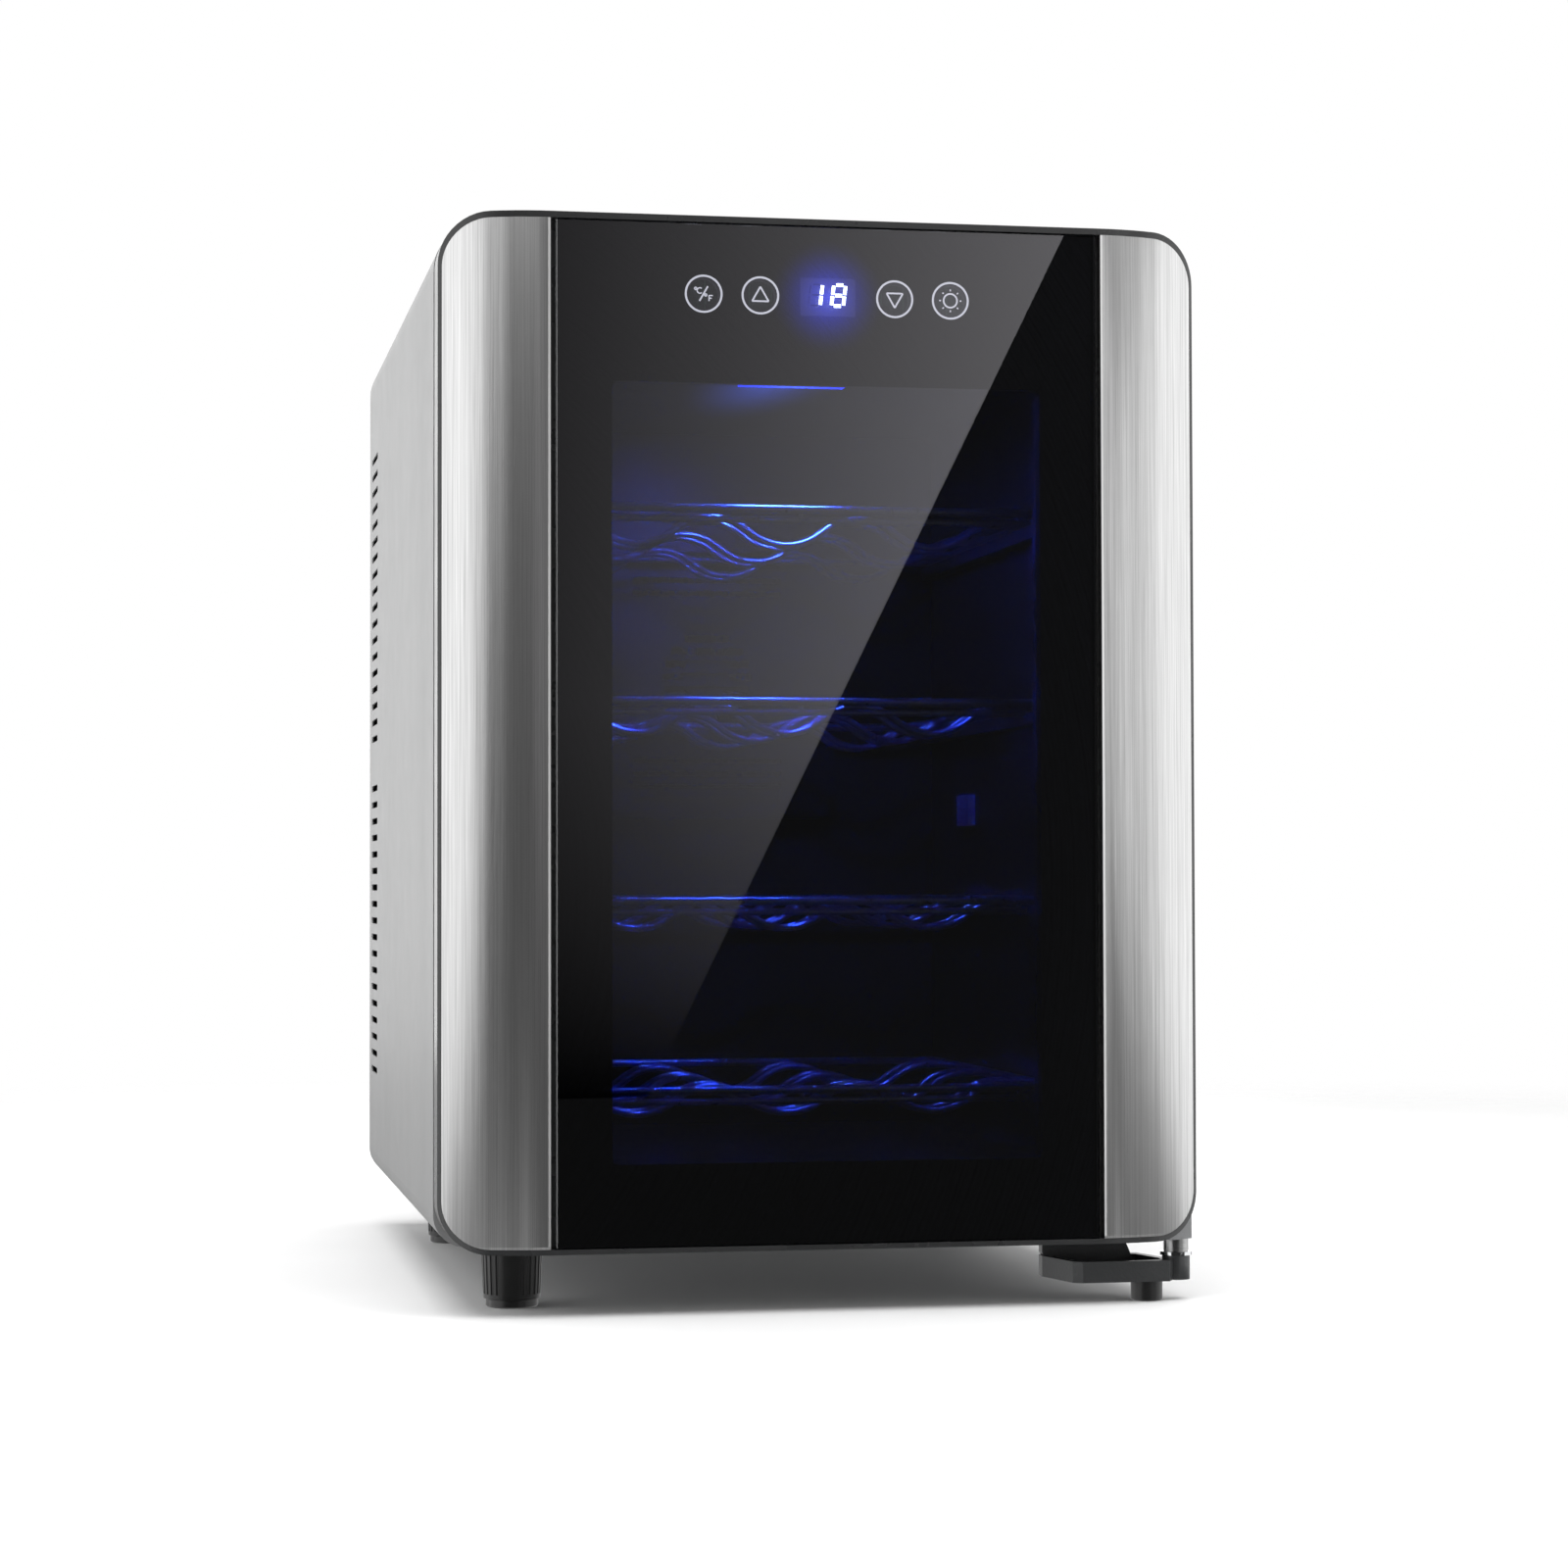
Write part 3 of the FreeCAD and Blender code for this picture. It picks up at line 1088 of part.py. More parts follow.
def door_trim(side):
    """Bowed stainless panel with its long inner edge folded back."""
    rim = (LIP_SIDE + SEAT_GAP, LIP_BOTTOM + SEAT_GAP, LIP_TOP + SEAT_GAP)
    outer = door_block(0, rim, DOOR_THICKNESS)
    inner = bowed_block(PANEL_GAUGE, DOOR_BOTTOM - 6, DOOR_TOP + 6, DOOR_THICKNESS + 3)
    sheet = outer.cut(inner)
    start = PANEL_EDGE + SEAT_GAP
    keep = side_box(side, start, HALF_WIDTH, -2, DOOR_THICKNESS, DOOR_BOTTOM, DOOR_TOP)
    fold = side_box(side, start, start + PANEL_GAUGE, 0, GLASS_THICKNESS - 1,
                    DOOR_BOTTOM + rim[1], DOOR_TOP - rim[2])
    return sheet.common(keep).fuse(fold).removeSplitter()


def trim_fold_relief(side):
    """Groove in the door shell that takes the panel's folded edge."""
    return side_box(side, PANEL_EDGE - SEAT_GAP, PANEL_EDGE + PANEL_GAUGE + 2 * SEAT_GAP, -1,
                    GLASS_THICKNESS - 1 + SEAT_GAP, DOOR_BOTTOM + LIP_BOTTOM, DOOR_TOP - LIP_TOP)


def front_glass():
    """Front sheet of the door, with a ground edge."""
    sheet = box(-GLASS_HALF_WIDTH, GLASS_HALF_WIDTH, 0, GLASS_THICKNESS, GLASS_BOTTOM, GLASS_TOP)
    rim = [e for e in sheet.Edges if abs(e.BoundBox.YMax - back(0)) < 0.01]
    return sheet.makeChamfer(GLASS_CHAMFER, rim)


def glass_print():
    """Opaque border printed on the back of the front sheet, with clear marks for the controls."""
    inset = 0.4
    layer = box(-GLASS_HALF_WIDTH + inset, GLASS_HALF_WIDTH - inset, GLASS_THICKNESS, GLASS_BACK,
                GLASS_BOTTOM + inset, GLASS_TOP - inset)
    layer = layer.cut(window_block(0, GLASS_THICKNESS - 1, GLASS_BACK + 1, WINDOW_RADIUS))
    half = DISPLAY_WIDTH / 2
    layer = layer.cut(controls_block(-half, half, DISPLAY_HEIGHT / 2, GLASS_THICKNESS - 1, GLASS_BACK + 1))
    for x in TOUCH_XS:
        layer = layer.cut(round_y(x, CONTROLS_LEVEL, TOUCH_RADIUS, GLASS_THICKNESS - 1, GLASS_BACK + 1))
    return layer


def glass_spacer():
    """Hollow aluminium spacer that seals the two glass sheets."""
    outer = window_block(1 + SPACER_WIDTH, GLASS_BACK, INNER_GLASS_FRONT, 4.0)
    return outer.cut(window_block(1, GLASS_BACK - 1, INNER_GLASS_FRONT + 1, 3.0))


def inner_glass():
    return window_block(OPENING_MARGIN - 1, INNER_GLASS_FRONT, INNER_GLASS_BACK, 5.0)


def door_inner_frame():
    """Rear frame of the door: it clamps the inner glass and carries the gasket."""
    half = HALF_WIDTH - DOOR_WALL - SEAT_GAP
    low = DOOR_BOTTOM + DOOR_WALL + SEAT_GAP
    top = DOOR_TOP - DOOR_WALL - SEAT_GAP
    radius = DOOR_CORNER_RADIUS - DOOR_WALL
    plate = rounded_prism(half, low, top, radius, radius, INNER_FRAME_FRONT, DOOR_THICKNESS)
    plate = plate.cut(window_block(4, INNER_FRAME_FRONT - 1, DOOR_THICKNESS + 1, 5.0))
    collar = window_block(OPENING_MARGIN - SEAT_GAP, INNER_GLASS_BACK, INNER_FRAME_FRONT, 5.9)
    collar = collar.cut(window_block(4, INNER_GLASS_BACK - 1, INNER_FRAME_FRONT + 1, 5.0))
    frame = plate.fuse(collar)
    frame = frame.cut(arm_slot())
    return frame.cut(lower_hinge_block())


def door_gasket():
    """Soft magnetic seal: a hollow ring between the door and the cabinet."""
    front = DOOR_THICKNESS
    rear = CABINET_FRONT - SEAT_GAP
    outer = (GASKET_OUTER, GASKET_SILL, GASKET_HEAD, 14.0)
    inner = (GASKET_OUTER - GASKET_WIDTH, GASKET_SILL + GASKET_WIDTH, GASKET_HEAD - GASKET_WIDTH, 6.0)
    ring = ring_prism(outer, inner, front, rear)
    return ring.cut(magnet_ring(SEAT_GAP))


def magnet_ring(grow):
    """The magnet strip inside the seal, larger by grow when it is used as a cutter."""
    margin = (GASKET_WIDTH - MAGNET_WIDTH) / 2
    outer_inset = margin - grow
    inner_inset = GASKET_WIDTH - margin + grow
    outer = (GASKET_OUTER - outer_inset, GASKET_SILL + outer_inset, GASKET_HEAD - outer_inset, 11.0)
    inner = (GASKET_OUTER - inner_inset, GASKET_SILL + inner_inset, GASKET_HEAD - inner_inset, 7.0)
    rear = CABINET_FRONT - SEAT_GAP - 0.7
    return ring_prism(outer, inner, rear - MAGNET_THICKNESS - grow, rear + grow)


def control_board():
    """Circuit board behind the printed border, with its controller and a plug."""
    front = GLASS_BACK + SEAT_GAP + DOOR_WALL + SEAT_GAP
    rear = front + BOARD_THICKNESS
    edge = CONTROL_BOARD_HALF
    board = controls_block(-edge, edge, DISPLAY_HEIGHT / 2 + 4, front, rear)
    chip = controls_block(CHIP_LEFT, CHIP_RIGHT, CHIP_HALF_HEIGHT, rear, rear + 2)
    plug = controls_block(PLUG_LEFT, PLUG_RIGHT, PLUG_HALF_HEIGHT, rear, rear + 6)
    return board.fuse([chip, plug])


def display_module():
    """Two-digit display block between the board and the glass."""
    rear = GLASS_BACK + DOOR_WALL + 2 * SEAT_GAP
    half = DISPLAY_WIDTH / 2
    return controls_block(-half, half, DISPLAY_HEIGHT / 2, GLASS_BACK, rear)


def touch_rings():
    """Light guides that show as a ring round each touch key."""
    rear = GLASS_BACK + DOOR_WALL + 2 * SEAT_GAP
    rings = []
    inner = TOUCH_RADIUS - TOUCH_STROKE * 2
    for x in TOUCH_XS:
        ring = round_y(x, CONTROLS_LEVEL, TOUCH_RADIUS, GLASS_BACK, rear)
        rings.append(ring.cut(round_y(x, CONTROLS_LEVEL, inner, GLASS_BACK - 1, rear + 1)))
    return Part.makeCompound(rings)


def wave_path():
    """The side-to-side line of one wave wire, in tangent arcs, with flat ends."""
    half = WAVE_PITCH / 4
    rise = WAVE_HEIGHT / 4
    arcs = []
    start = -WAVE_COUNT * WAVE_PITCH / 2

    def at(x, z):
        return FreeCAD.Vector(x, 0, z)

    arcs.append(Part.LineSegment(at(-SHELF_RAIL, 0), at(start, 0)).toShape())
    for i in range(WAVE_COUNT):
        x = start + i * WAVE_PITCH
        crest = arc_half(at(x, 0), at(x + half, -2 * rise), 1)
        trough = arc_whole(at(x + half, -2 * rise), at(x + 3 * half, -2 * rise), -WAVE_HEIGHT)
        rest = arc_half(at(x + 3 * half, -2 * rise), at(x + 4 * half, 0), -1)
        arcs.extend([crest, trough, rest])
    arcs.append(Part.LineSegment(at(-start, 0), at(SHELF_RAIL, 0)).toShape())
    return Part.Wire(arcs)


def arc_half(first, last, way):
    """Arc between a level crest and a slope; way is 1 going down from it and -1 going up to it."""
    crest = first if way > 0 else last
    foot = last if way > 0 else first
    run = abs(foot.x - crest.x)
    fall = crest.z - foot.z
    radius = (run ** 2 + fall ** 2) / (2 * fall)
    centre_z = crest.z - radius
    turn = math.asin(run / radius) / 2
    x = crest.x + way * radius * math.sin(turn)
    return Part.Arc(first, FreeCAD.Vector(x, 0, centre_z + radius * math.cos(turn)), last).toShape()


def arc_whole(first, last, bottom):
    return Part.Arc(first, FreeCAD.Vector((first.x + last.x) / 2, 0, bottom), last).toShape()


def shelf():
    """Chromed wire shelf at level 0 and depth 0: a round-cornered frame, wave wires and a double front."""
    half = SHELF_RAIL
    bend = SHELF_BEND
    depth = SHELF_DEPTH - 2 * SHELF_WIRE

    def at(x, y, z=0.0):
        return FreeCAD.Vector(x, y, z)

    k = bend * (1 - math.sqrt(0.5))
    edges = [
        Part.LineSegment(at(0, 0), at(half - bend, 0)).toShape(),
        Part.Arc(at(half - bend, 0), at(half - k, k), at(half, bend)).toShape(),
        Part.LineSegment(at(half, bend), at(half, depth - bend)).toShape(),
        Part.Arc(at(half, depth - bend), at(half - k, depth - k), at(half - bend, depth)).toShape(),
        Part.LineSegment(at(half - bend, depth), at(-half + bend, depth)).toShape(),
        Part.Arc(at(-half + bend, depth), at(-half + k, depth - k), at(-half, depth - bend)).toShape(),
        Part.LineSegment(at(-half, depth - bend), at(-half, bend)).toShape(),
        Part.Arc(at(-half, bend), at(-half + k, k), at(-half + bend, 0)).toShape(),
        Part.LineSegment(at(-half + bend, 0), at(0, 0)).toShape(),
    ]
    ring = pipe(Part.Wire(edges), SHELF_WIRE, at(0, 0), FreeCAD.Vector(1, 0, 0))
    wave = pipe(wave_path(), WAVE_WIRE, at(-half, 0), FreeCAD.Vector(1, 0, 0))
    waves = []
    for pair in range(WAVE_PAIRS):
        for second in (0, 1):
            copy = wave.copy()
            copy.translate(at(0, WAVE_START + pair * WAVE_PAIR_PITCH + second * WAVE_PAIR_GAP))
            waves.append(copy)
    bar_half = half - bend - 6
    bar_end = at(-bar_half, 0, -FRONT_BAR_DROP)
    bar = Part.makeCylinder(WAVE_WIRE, 2 * bar_half, bar_end, FreeCAD.Vector(1, 0, 0))
    posts = [Part.makeCylinder(POST_WIRE, FRONT_BAR_DROP, at(x, 0, -FRONT_BAR_DROP))
             for x in (-bar_half + 3 * POST_WIRE, 0.0, bar_half - 3 * POST_WIRE)]
    return ring.fuse(waves + [bar] + posts)


def pipe(path, radius, start, direction):
    circle = Part.Wire(Part.Circle(start, direction, radius).toShape())
    return path.makePipeShell([circle], True, False)


def foot_knob(x, depth):
    """Fluted levelling foot with its threaded stud, above the pad."""
    low = FOOT_PAD_HEIGHT + FOOT_GAP
    high = CABINET_FLOOR - FOOT_GAP
    knob = Part.makeCone(FOOT_LOW_RADIUS, FOOT_TOP_RADIUS, high - low, point(x, depth, low))
    flutes = []
    group_span = FLUTE_STEP * (FLUTES_PER_GROUP - 1)
    lean = math.degrees(math.atan((FOOT_TOP_RADIUS - FOOT_LOW_RADIUS) / (high - low)))
    for i in range(FLUTE_GROUPS * FLUTES_PER_GROUP):
        middle = KNOB_TURN + (i // FLUTES_PER_GROUP + 0.5) * 360.0 / FLUTE_GROUPS
        turn = math.radians(middle - group_span / 2 + FLUTE_STEP * (i % FLUTES_PER_GROUP))
        cx = x + (FOOT_TOP_RADIUS + FLUTE_STANDOFF) * math.cos(turn)
        cy = depth + (FOOT_TOP_RADIUS + FLUTE_STANDOFF) * math.sin(turn)
        flute = Part.makeCylinder(FLUTE_RADIUS, high - low - 3, point(cx, cy, low + 2))
        axis = FreeCAD.Vector(-math.sin(turn), math.cos(turn), 0)
        flute.rotate(point(cx, cy, high), axis, lean)
        flutes.append(flute)
    knob = knob.cut(Part.makeCompound(flutes))
    stud = round_z(x, depth, STUD_RADIUS, high - 1, high + STUD_LENGTH)
    knob = knob.fuse(stud)
    bore_top = low + PAD_SPIGOT_HEIGHT + 0.2
    return knob.cut(round_z(x, depth, PAD_SPIGOT_RADIUS + RUNNING_GAP, low - 1, bore_top))


def foot_pad(x, depth):
    """Plain round pad that stands on the floor and swivels in the knob."""
    pad = round_z(x, depth, FOOT_PAD_RADIUS, 0, FOOT_PAD_HEIGHT)
    pad = pad.makeChamfer(PAD_CHAMFER, bottom_edges(pad))
    spigot = round_z(x, depth, PAD_SPIGOT_RADIUS, FOOT_PAD_HEIGHT, FOOT_PAD_HEIGHT + PAD_SPIGOT_HEIGHT)
    return pad.fuse(spigot)


def make_cabinet():
    save(cabinet_wrap(), "cabinet_wrap")
    save(base_plate(), "base_plate")
    save(front_frame(), "front_frame")
    save(inner_liner(), "inner_liner")
    save(insulation_foam(), "insulation_foam")
    save(rear_bulkhead(), "rear_bulkhead")
    save(rear_cover(), "rear_cover")
    save(wall_spacers(), "wall_spacers")
    save(foot_inserts(), "foot_inserts")
    save(lamp_housing(), "lamp_housing")
    save(lamp_board(), "lamp_board")
    save(lamp_lens(), "lamp_lens")
    save(temperature_sensor(), "temperature_sensor")


def make_cooling_unit():
    save(cold_sink(), "cold_sink")
    save(cold_block(), "cold_block")
    save(peltier_module(), "peltier_module")
    save(hot_sink(), "hot_sink")
    save(inner_fan_cover(), "inner_fan_cover")
    inner_fan = (INNER_FAN_SIZE, INNER_FAN_DEPTH, inner_fan_front(), UNIT_LEVEL, True)
    outer_fan = (OUTER_FAN_SIZE, OUTER_FAN_DEPTH, HOT_FAN_FRONT, UNIT_LEVEL, False)
    save(fan_frame(*inner_fan), "inner_fan_frame")
    save(fan_rotor(*inner_fan), "inner_fan_rotor")
    save(fan_frame(*outer_fan), "outer_fan_frame")
    save(fan_rotor(*outer_fan), "outer_fan_rotor")
    save(power_cover(), "power_cover")
    save(power_board(), "power_board")
    save(power_inlet(), "power_inlet")


def make_hinges():
    save(lower_hinge_bracket(), "lower_hinge_bracket")
    save(lower_hinge_pin(), "lower_hinge_pin")
    save(hinge_washer(), "hinge_washer")
    save(hinge_foot(), "hinge_foot")
    seat = round_z(HINGE_X, HINGE_DEPTH, LOWER_PIN_RADIUS + 1.0, DOOR_BOTTOM - 1, DOOR_BOTTOM + SLEEVE_HEIGHT)
    save(lower_hinge_block().cut(seat), "lower_hinge_block")
    save(lower_hinge_bushing(), "lower_hinge_bushing")
    save(upper_hinge_bracket(), "upper_hinge_bracket")
    save(upper_hinge_bushing(), "upper_hinge_bushing")


def make_door():
    shell = door_frame().cut(trim_fold_relief(-1)).cut(trim_fold_relief(1))
    save(shell, "door_frame")
    save(door_trim(-1), "door_trim_left")
    save(door_trim(1), "door_trim_right")
    save(front_glass(), "front_glass")
    save(glass_print(), "glass_print")
    save(glass_spacer(), "glass_spacer")
    save(inner_glass(), "inner_glass")
    save(door_inner_frame(), "door_inner_frame")
    save(door_gasket(), "door_gasket")
    save(magnet_ring(0), "gasket_magnet")
    save(control_board(), "control_board")
    save(display_module(), "display_module")
    save(touch_rings(), "touch_rings")


def make_shelves():
    pattern = shelf()
    for number, level in enumerate(SHELF_LEVELS, start=1):
        copy = pattern.copy()
        copy.translate(FreeCAD.Vector(0, back(SHELF_FRONT + SHELF_WIRE), level))
        save(copy, "shelf_%d" % number)


def make_feet():
    for name, (x, depth) in zip(("front_left", "rear_left", "rear_right"), foot_places()):
        save(foot_knob(x, depth), "foot_knob_" + name)
        save(foot_pad(x, depth), "foot_pad_" + name)


def make_screws():
    save(screws(BASE_SCREWS, SCREW_RADIUS, SCREW_HEAD_RADIUS, SCREW_LENGTH, UP), "base_screws")
    save(screws(COVER_SCREWS, SCREW_RADIUS, SCREW_HEAD_RADIUS, SCREW_LENGTH, FORWARD), "rear_cover_screws")
    save(screws(BRACKET_SCREWS, SCREW_RADIUS, SCREW_HEAD_RADIUS, SCREW_LENGTH, UP), "lower_hinge_screws")
    flat = countersunk_screws(ARM_SCREWS, SCREW_RADIUS, FLAT_HEAD_RADIUS, SCREW_LENGTH, REARWARD)
    save(flat, "upper_hinge_screws")


os.makedirs("parts", exist_ok=True)
make_cabinet()
make_cooling_unit()
make_hinges()
make_door()
make_shelves()
make_feet()
make_screws()
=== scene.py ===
# %% [markdown]
# # A thermoelectric wine cooler, piece by piece
# The solid parts of the cooler arrive as a fixed frame: every sheet, screw and wire already has
# its size and place. This lesson gives each of them its finish, adds the marks behind the door
# glass, and lights the whole as a studio would. All lengths are metres, +Z is up, the door looks
# along -Y, and the object stands on Z = 0.

# %% Load the frame
import json
import math

import bmesh
import bpy
from mathutils import Matrix, Vector


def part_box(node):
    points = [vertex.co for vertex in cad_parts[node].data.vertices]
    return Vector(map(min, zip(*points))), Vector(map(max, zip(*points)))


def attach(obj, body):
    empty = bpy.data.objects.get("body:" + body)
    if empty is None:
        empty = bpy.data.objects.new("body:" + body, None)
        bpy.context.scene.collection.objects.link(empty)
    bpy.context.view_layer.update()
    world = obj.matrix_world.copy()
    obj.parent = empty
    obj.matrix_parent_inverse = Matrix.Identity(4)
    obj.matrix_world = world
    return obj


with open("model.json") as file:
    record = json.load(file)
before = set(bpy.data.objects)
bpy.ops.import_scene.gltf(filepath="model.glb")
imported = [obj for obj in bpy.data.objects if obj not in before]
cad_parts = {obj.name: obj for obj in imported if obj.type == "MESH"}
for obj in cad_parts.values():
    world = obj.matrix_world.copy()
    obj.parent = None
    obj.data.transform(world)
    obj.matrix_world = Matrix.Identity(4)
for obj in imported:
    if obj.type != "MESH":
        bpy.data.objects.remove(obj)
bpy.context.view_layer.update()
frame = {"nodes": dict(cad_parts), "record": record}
MM = 0.001

# %% [markdown]
# ## Writing shader maths as Python
# A material in Blender is a graph of nodes. Long graphs are hard to read when every node is linked
# by hand, so two small classes help. `Value` wraps one output socket, and its operators build Math
# nodes, so `1 - mask * 0.3` makes two nodes. `Finish` owns one material and makes any other node
# from its type, its settings and its sockets.

# %% The two helper classes
class Value:
    """A number that varies over a surface: arithmetic on it adds Math nodes."""

    def __init__(self, finish, socket):
        self.finish = finish
        self.socket = socket

    def maths(self, operation, first, second=0.0):
        made = self.finish.node("ShaderNodeMath", {"operation": operation}, {0: first, 1: second})
        return Value(self.finish, made.outputs[0])

    def __add__(self, other):
        return self.maths("ADD", self, other)

    def __radd__(self, other):
        return self.maths("ADD", other, self)

    def __sub__(self, other):
        return self.maths("SUBTRACT", self, other)

    def __rsub__(self, other):
        return self.maths("SUBTRACT", other, self)

    def __mul__(self, other):
        return self.maths("MULTIPLY", self, other)

    def __rmul__(self, other):
        return self.maths("MULTIPLY", other, self)

    def __pow__(self, other):
        return self.maths("POWER", self, other)

    def size(self):
        return self.maths("ABSOLUTE", self)

    def least(self, other):
        return self.maths("MINIMUM", self, other)

    def most(self, other):
        return self.maths("MAXIMUM", self, other)


class Finish:
    """One material, and short ways to the nodes that most finishes need."""

    def __init__(self, name):
        self.material = bpy.data.materials.new(name)
        self.material.use_nodes = True
        self.tree = self.material.node_tree
        self.tree.nodes.clear()
        self.output = self.tree.nodes.new("ShaderNodeOutputMaterial")
        self.places = self.node("ShaderNodeTexCoord").outputs["Object"]

    def node(self, kind, settings=None, sockets=None):
        made = self.tree.nodes.new(kind)
        for name, setting in (settings or {}).items():
            if name == "stops":
                self.set_stops(made.color_ramp, setting)
            else:
                setattr(made, name, setting)
        for name, value in (sockets or {}).items():
            self.plug(made.inputs[name], value)
        return made

    def plug(self, socket, value):
        if isinstance(value, Value):
            value = value.socket
        if isinstance(value, bpy.types.NodeSocket):
            self.tree.links.new(value, socket)
        else:
            socket.default_value = value

    def set_stops(self, ramp, stops):
        while len(ramp.elements) < len(stops):
            ramp.elements.new(1.0)
        for element, (position, colour) in zip(ramp.elements, stops):
            element.position = position
            element.color = (*colour, 1.0)

    def stretched(self, stretch):
        """Object coordinates in metres, multiplied along each axis."""
        sockets = {"Vector": self.places, "Scale": stretch}
        return self.node("ShaderNodeMapping", None, sockets).outputs["Vector"]

    def noise(self, scale, detail=3.0, roughness=0.5, stretch=(1.0, 1.0, 1.0)):
        """Cloudy noise from 0 to 1; scale is in features per metre."""
        sockets = {"Scale": scale, "Detail": detail, "Roughness": roughness}
        sockets["Vector"] = self.stretched(stretch)
        return Value(self, self.node("ShaderNodeTexNoise", None, sockets).outputs["Fac"])

    def axis(self, name):
        """One of the object's own coordinates, in metres."""
        apart = self.node("ShaderNodeSeparateXYZ", None, {"Vector": self.places})
        return Value(self, apart.outputs[name])

    def ramp(self, value, stops):
        """A colour that changes with a value, through these stops."""
        made = self.node("ShaderNodeValToRGB", {"stops": stops}, {"Fac": value})
        return made.outputs["Color"]

    def bump(self, height, distance):
        """A normal that follows a height; distance is the height in metres that a 1 stands for."""
        sockets = {"Height": height, "Distance": distance, "Strength": 1.0}
        return self.node("ShaderNodeBump", None, sockets).outputs["Normal"]

    def between(self, value, low, high):
        """The value from 0 to 1 moved into a range."""
        return value * (high - low) + low

    def surface(self, **sockets):
        """A Principled shader; underscores in the names stand for spaces."""
        named = {name.replace("_", " "): value for name, value in sockets.items()}
        return self.node("ShaderNodeBsdfPrincipled", None, named).outputs["BSDF"]

    def show(self, shader):
        """Puts a shader on the surface and hands over the finished material."""
        self.tree.links.new(shader, self.output.inputs["Surface"])
        return self.material


# %% [markdown]
# ## Finish 1: painted sheet steel
# The cabinet is a folded sheet with a smooth silver-grey powder coat. Powder melts into a skin with
# a faint orange peel, so the surface needs a very shallow bump about a millimetre across, a colour
# that drifts a little from place to place, and a roughness that does the same. The long folds also
# leave soft vertical bands, which come from noise stretched along Z.

# %% Painted steel
def painted_steel(name, dark, light, roughness, metallic, peel):
    """Powder coat: two tones that drift in soft vertical bands, and an orange-peel skin."""
    finish = Finish(name)
    bands = finish.noise(scale=22.0, detail=2.0, roughness=0.4, stretch=(1.0, 1.0, 0.05))
    cloud = finish.noise(scale=60.0, detail=4.0, roughness=0.6)
    grain = finish.noise(scale=2600.0, detail=2.0, roughness=0.5)
    tone = bands * 0.55 + cloud * 0.25 + grain * 0.2
    skin = finish.noise(scale=700.0, detail=2.0, roughness=0.45)
    rough = finish.between(cloud, roughness - 0.05, roughness + 0.07)
    shader = finish.surface(
        Base_Color=finish.ramp(tone, [(0.3, dark), (0.7, light)]),
        Roughness=rough,
        Metallic=metallic,
        Normal=finish.bump(skin, peel),
    )
    return finish.show(shader)


def grey(level, blue=0.0):
    """A near-neutral colour, with a little more blue if asked."""
    return (level, level * (1.0 + blue / 2), level * (1.0 + blue))


SILVER_PAINT = painted_steel(
    "silver_powder_coat", grey(0.235, 0.01), grey(0.275, 0.01),
    roughness=0.44, metallic=0.2, peel=0.04 * MM)
FLOOR_PAINT = painted_steel(
    "dark_floor_coat", grey(0.10, 0.05), grey(0.13, 0.05),
    roughness=0.5, metallic=0.1, peel=0.06 * MM)
BULKHEAD_PAINT = painted_steel(
    "galvanised_bulkhead", grey(0.36, 0.03), grey(0.46, 0.03),
    roughness=0.4, metallic=0.7, peel=0.03 * MM)
REAR_PAINT = painted_steel(
    "black_rear_coat", grey(0.018, 0.1), grey(0.028, 0.1),
    roughness=0.52, metallic=0.0, peel=0.08 * MM)
HINGE_PAINT = painted_steel(
    "dark_cast_hinge", grey(0.05, 0.06), grey(0.07, 0.06),
    roughness=0.32, metallic=0.4, peel=0.08 * MM)
BLOCK_PAINT = painted_steel(
    "grey_hinge_block", grey(0.16, 0.04), grey(0.22, 0.04),
    roughness=0.36, metallic=0.5, peel=0.05 * MM)

# %% [markdown]
# ## Finish 2: brushed stainless steel
# The two bowed door panels are stainless sheet, brushed from top to bottom with an abrasive belt.
# Each scratch is a thin vertical line, so the pattern is noise squeezed across X and Y and pulled
# out along Z. Two layers are used, because a real belt leaves fine lines of many lengths and a few
# broader passes. The lines feed colour, roughness and a bump, which smears highlights sideways.
# The sheet's inner and lower edges are rolled back over about a millimetre, and a rolled edge
# catches a line of light: a second height, which falls towards those edges, tilts the normal there.

# %% Brushed steel
def rolled_edge(finish, inner_edge, lower_edge, width):
    """The height of a panel whose inner and lower edges roll back over a small width."""
    inward = (finish.axis("X").size() - inner_edge).least(width)
    upward = (finish.axis("Z") - lower_edge).least(width)
    return inward + upward


def brushed_steel(name, dark, light, roughness, pull, groove, rolled=None):
    """Metal with belt lines; pull multiplies their number along each axis, rolled gives the edges."""
    finish = Finish(name)

    def belt_lines(per_metre, detail, roughness):
        stretch = tuple(per_metre * share for share in pull)
        return finish.noise(scale=1.0, detail=detail, roughness=roughness, stretch=stretch)

    fine = belt_lines(4200.0, 3.0, 0.6)
    long_lines = belt_lines(1500.0, 2.0, 0.5)
    passes = belt_lines(160.0, 2.0, 0.5)
    lines = fine * 0.5 + long_lines * 0.35 + passes * 0.15
    height = (fine * 0.6 + long_lines * 0.4) * groove
    if rolled:
        height = height + rolled_edge(finish, *rolled)
    shader = finish.surface(
        Base_Color=finish.ramp(lines, [(0.32, dark), (0.68, light)]),
        Roughness=finish.between(lines, roughness + 0.1, roughness - 0.08),
        Metallic=1.0,
        Normal=finish.bump(height, distance=1.0),
    )
    return finish.show(shader)


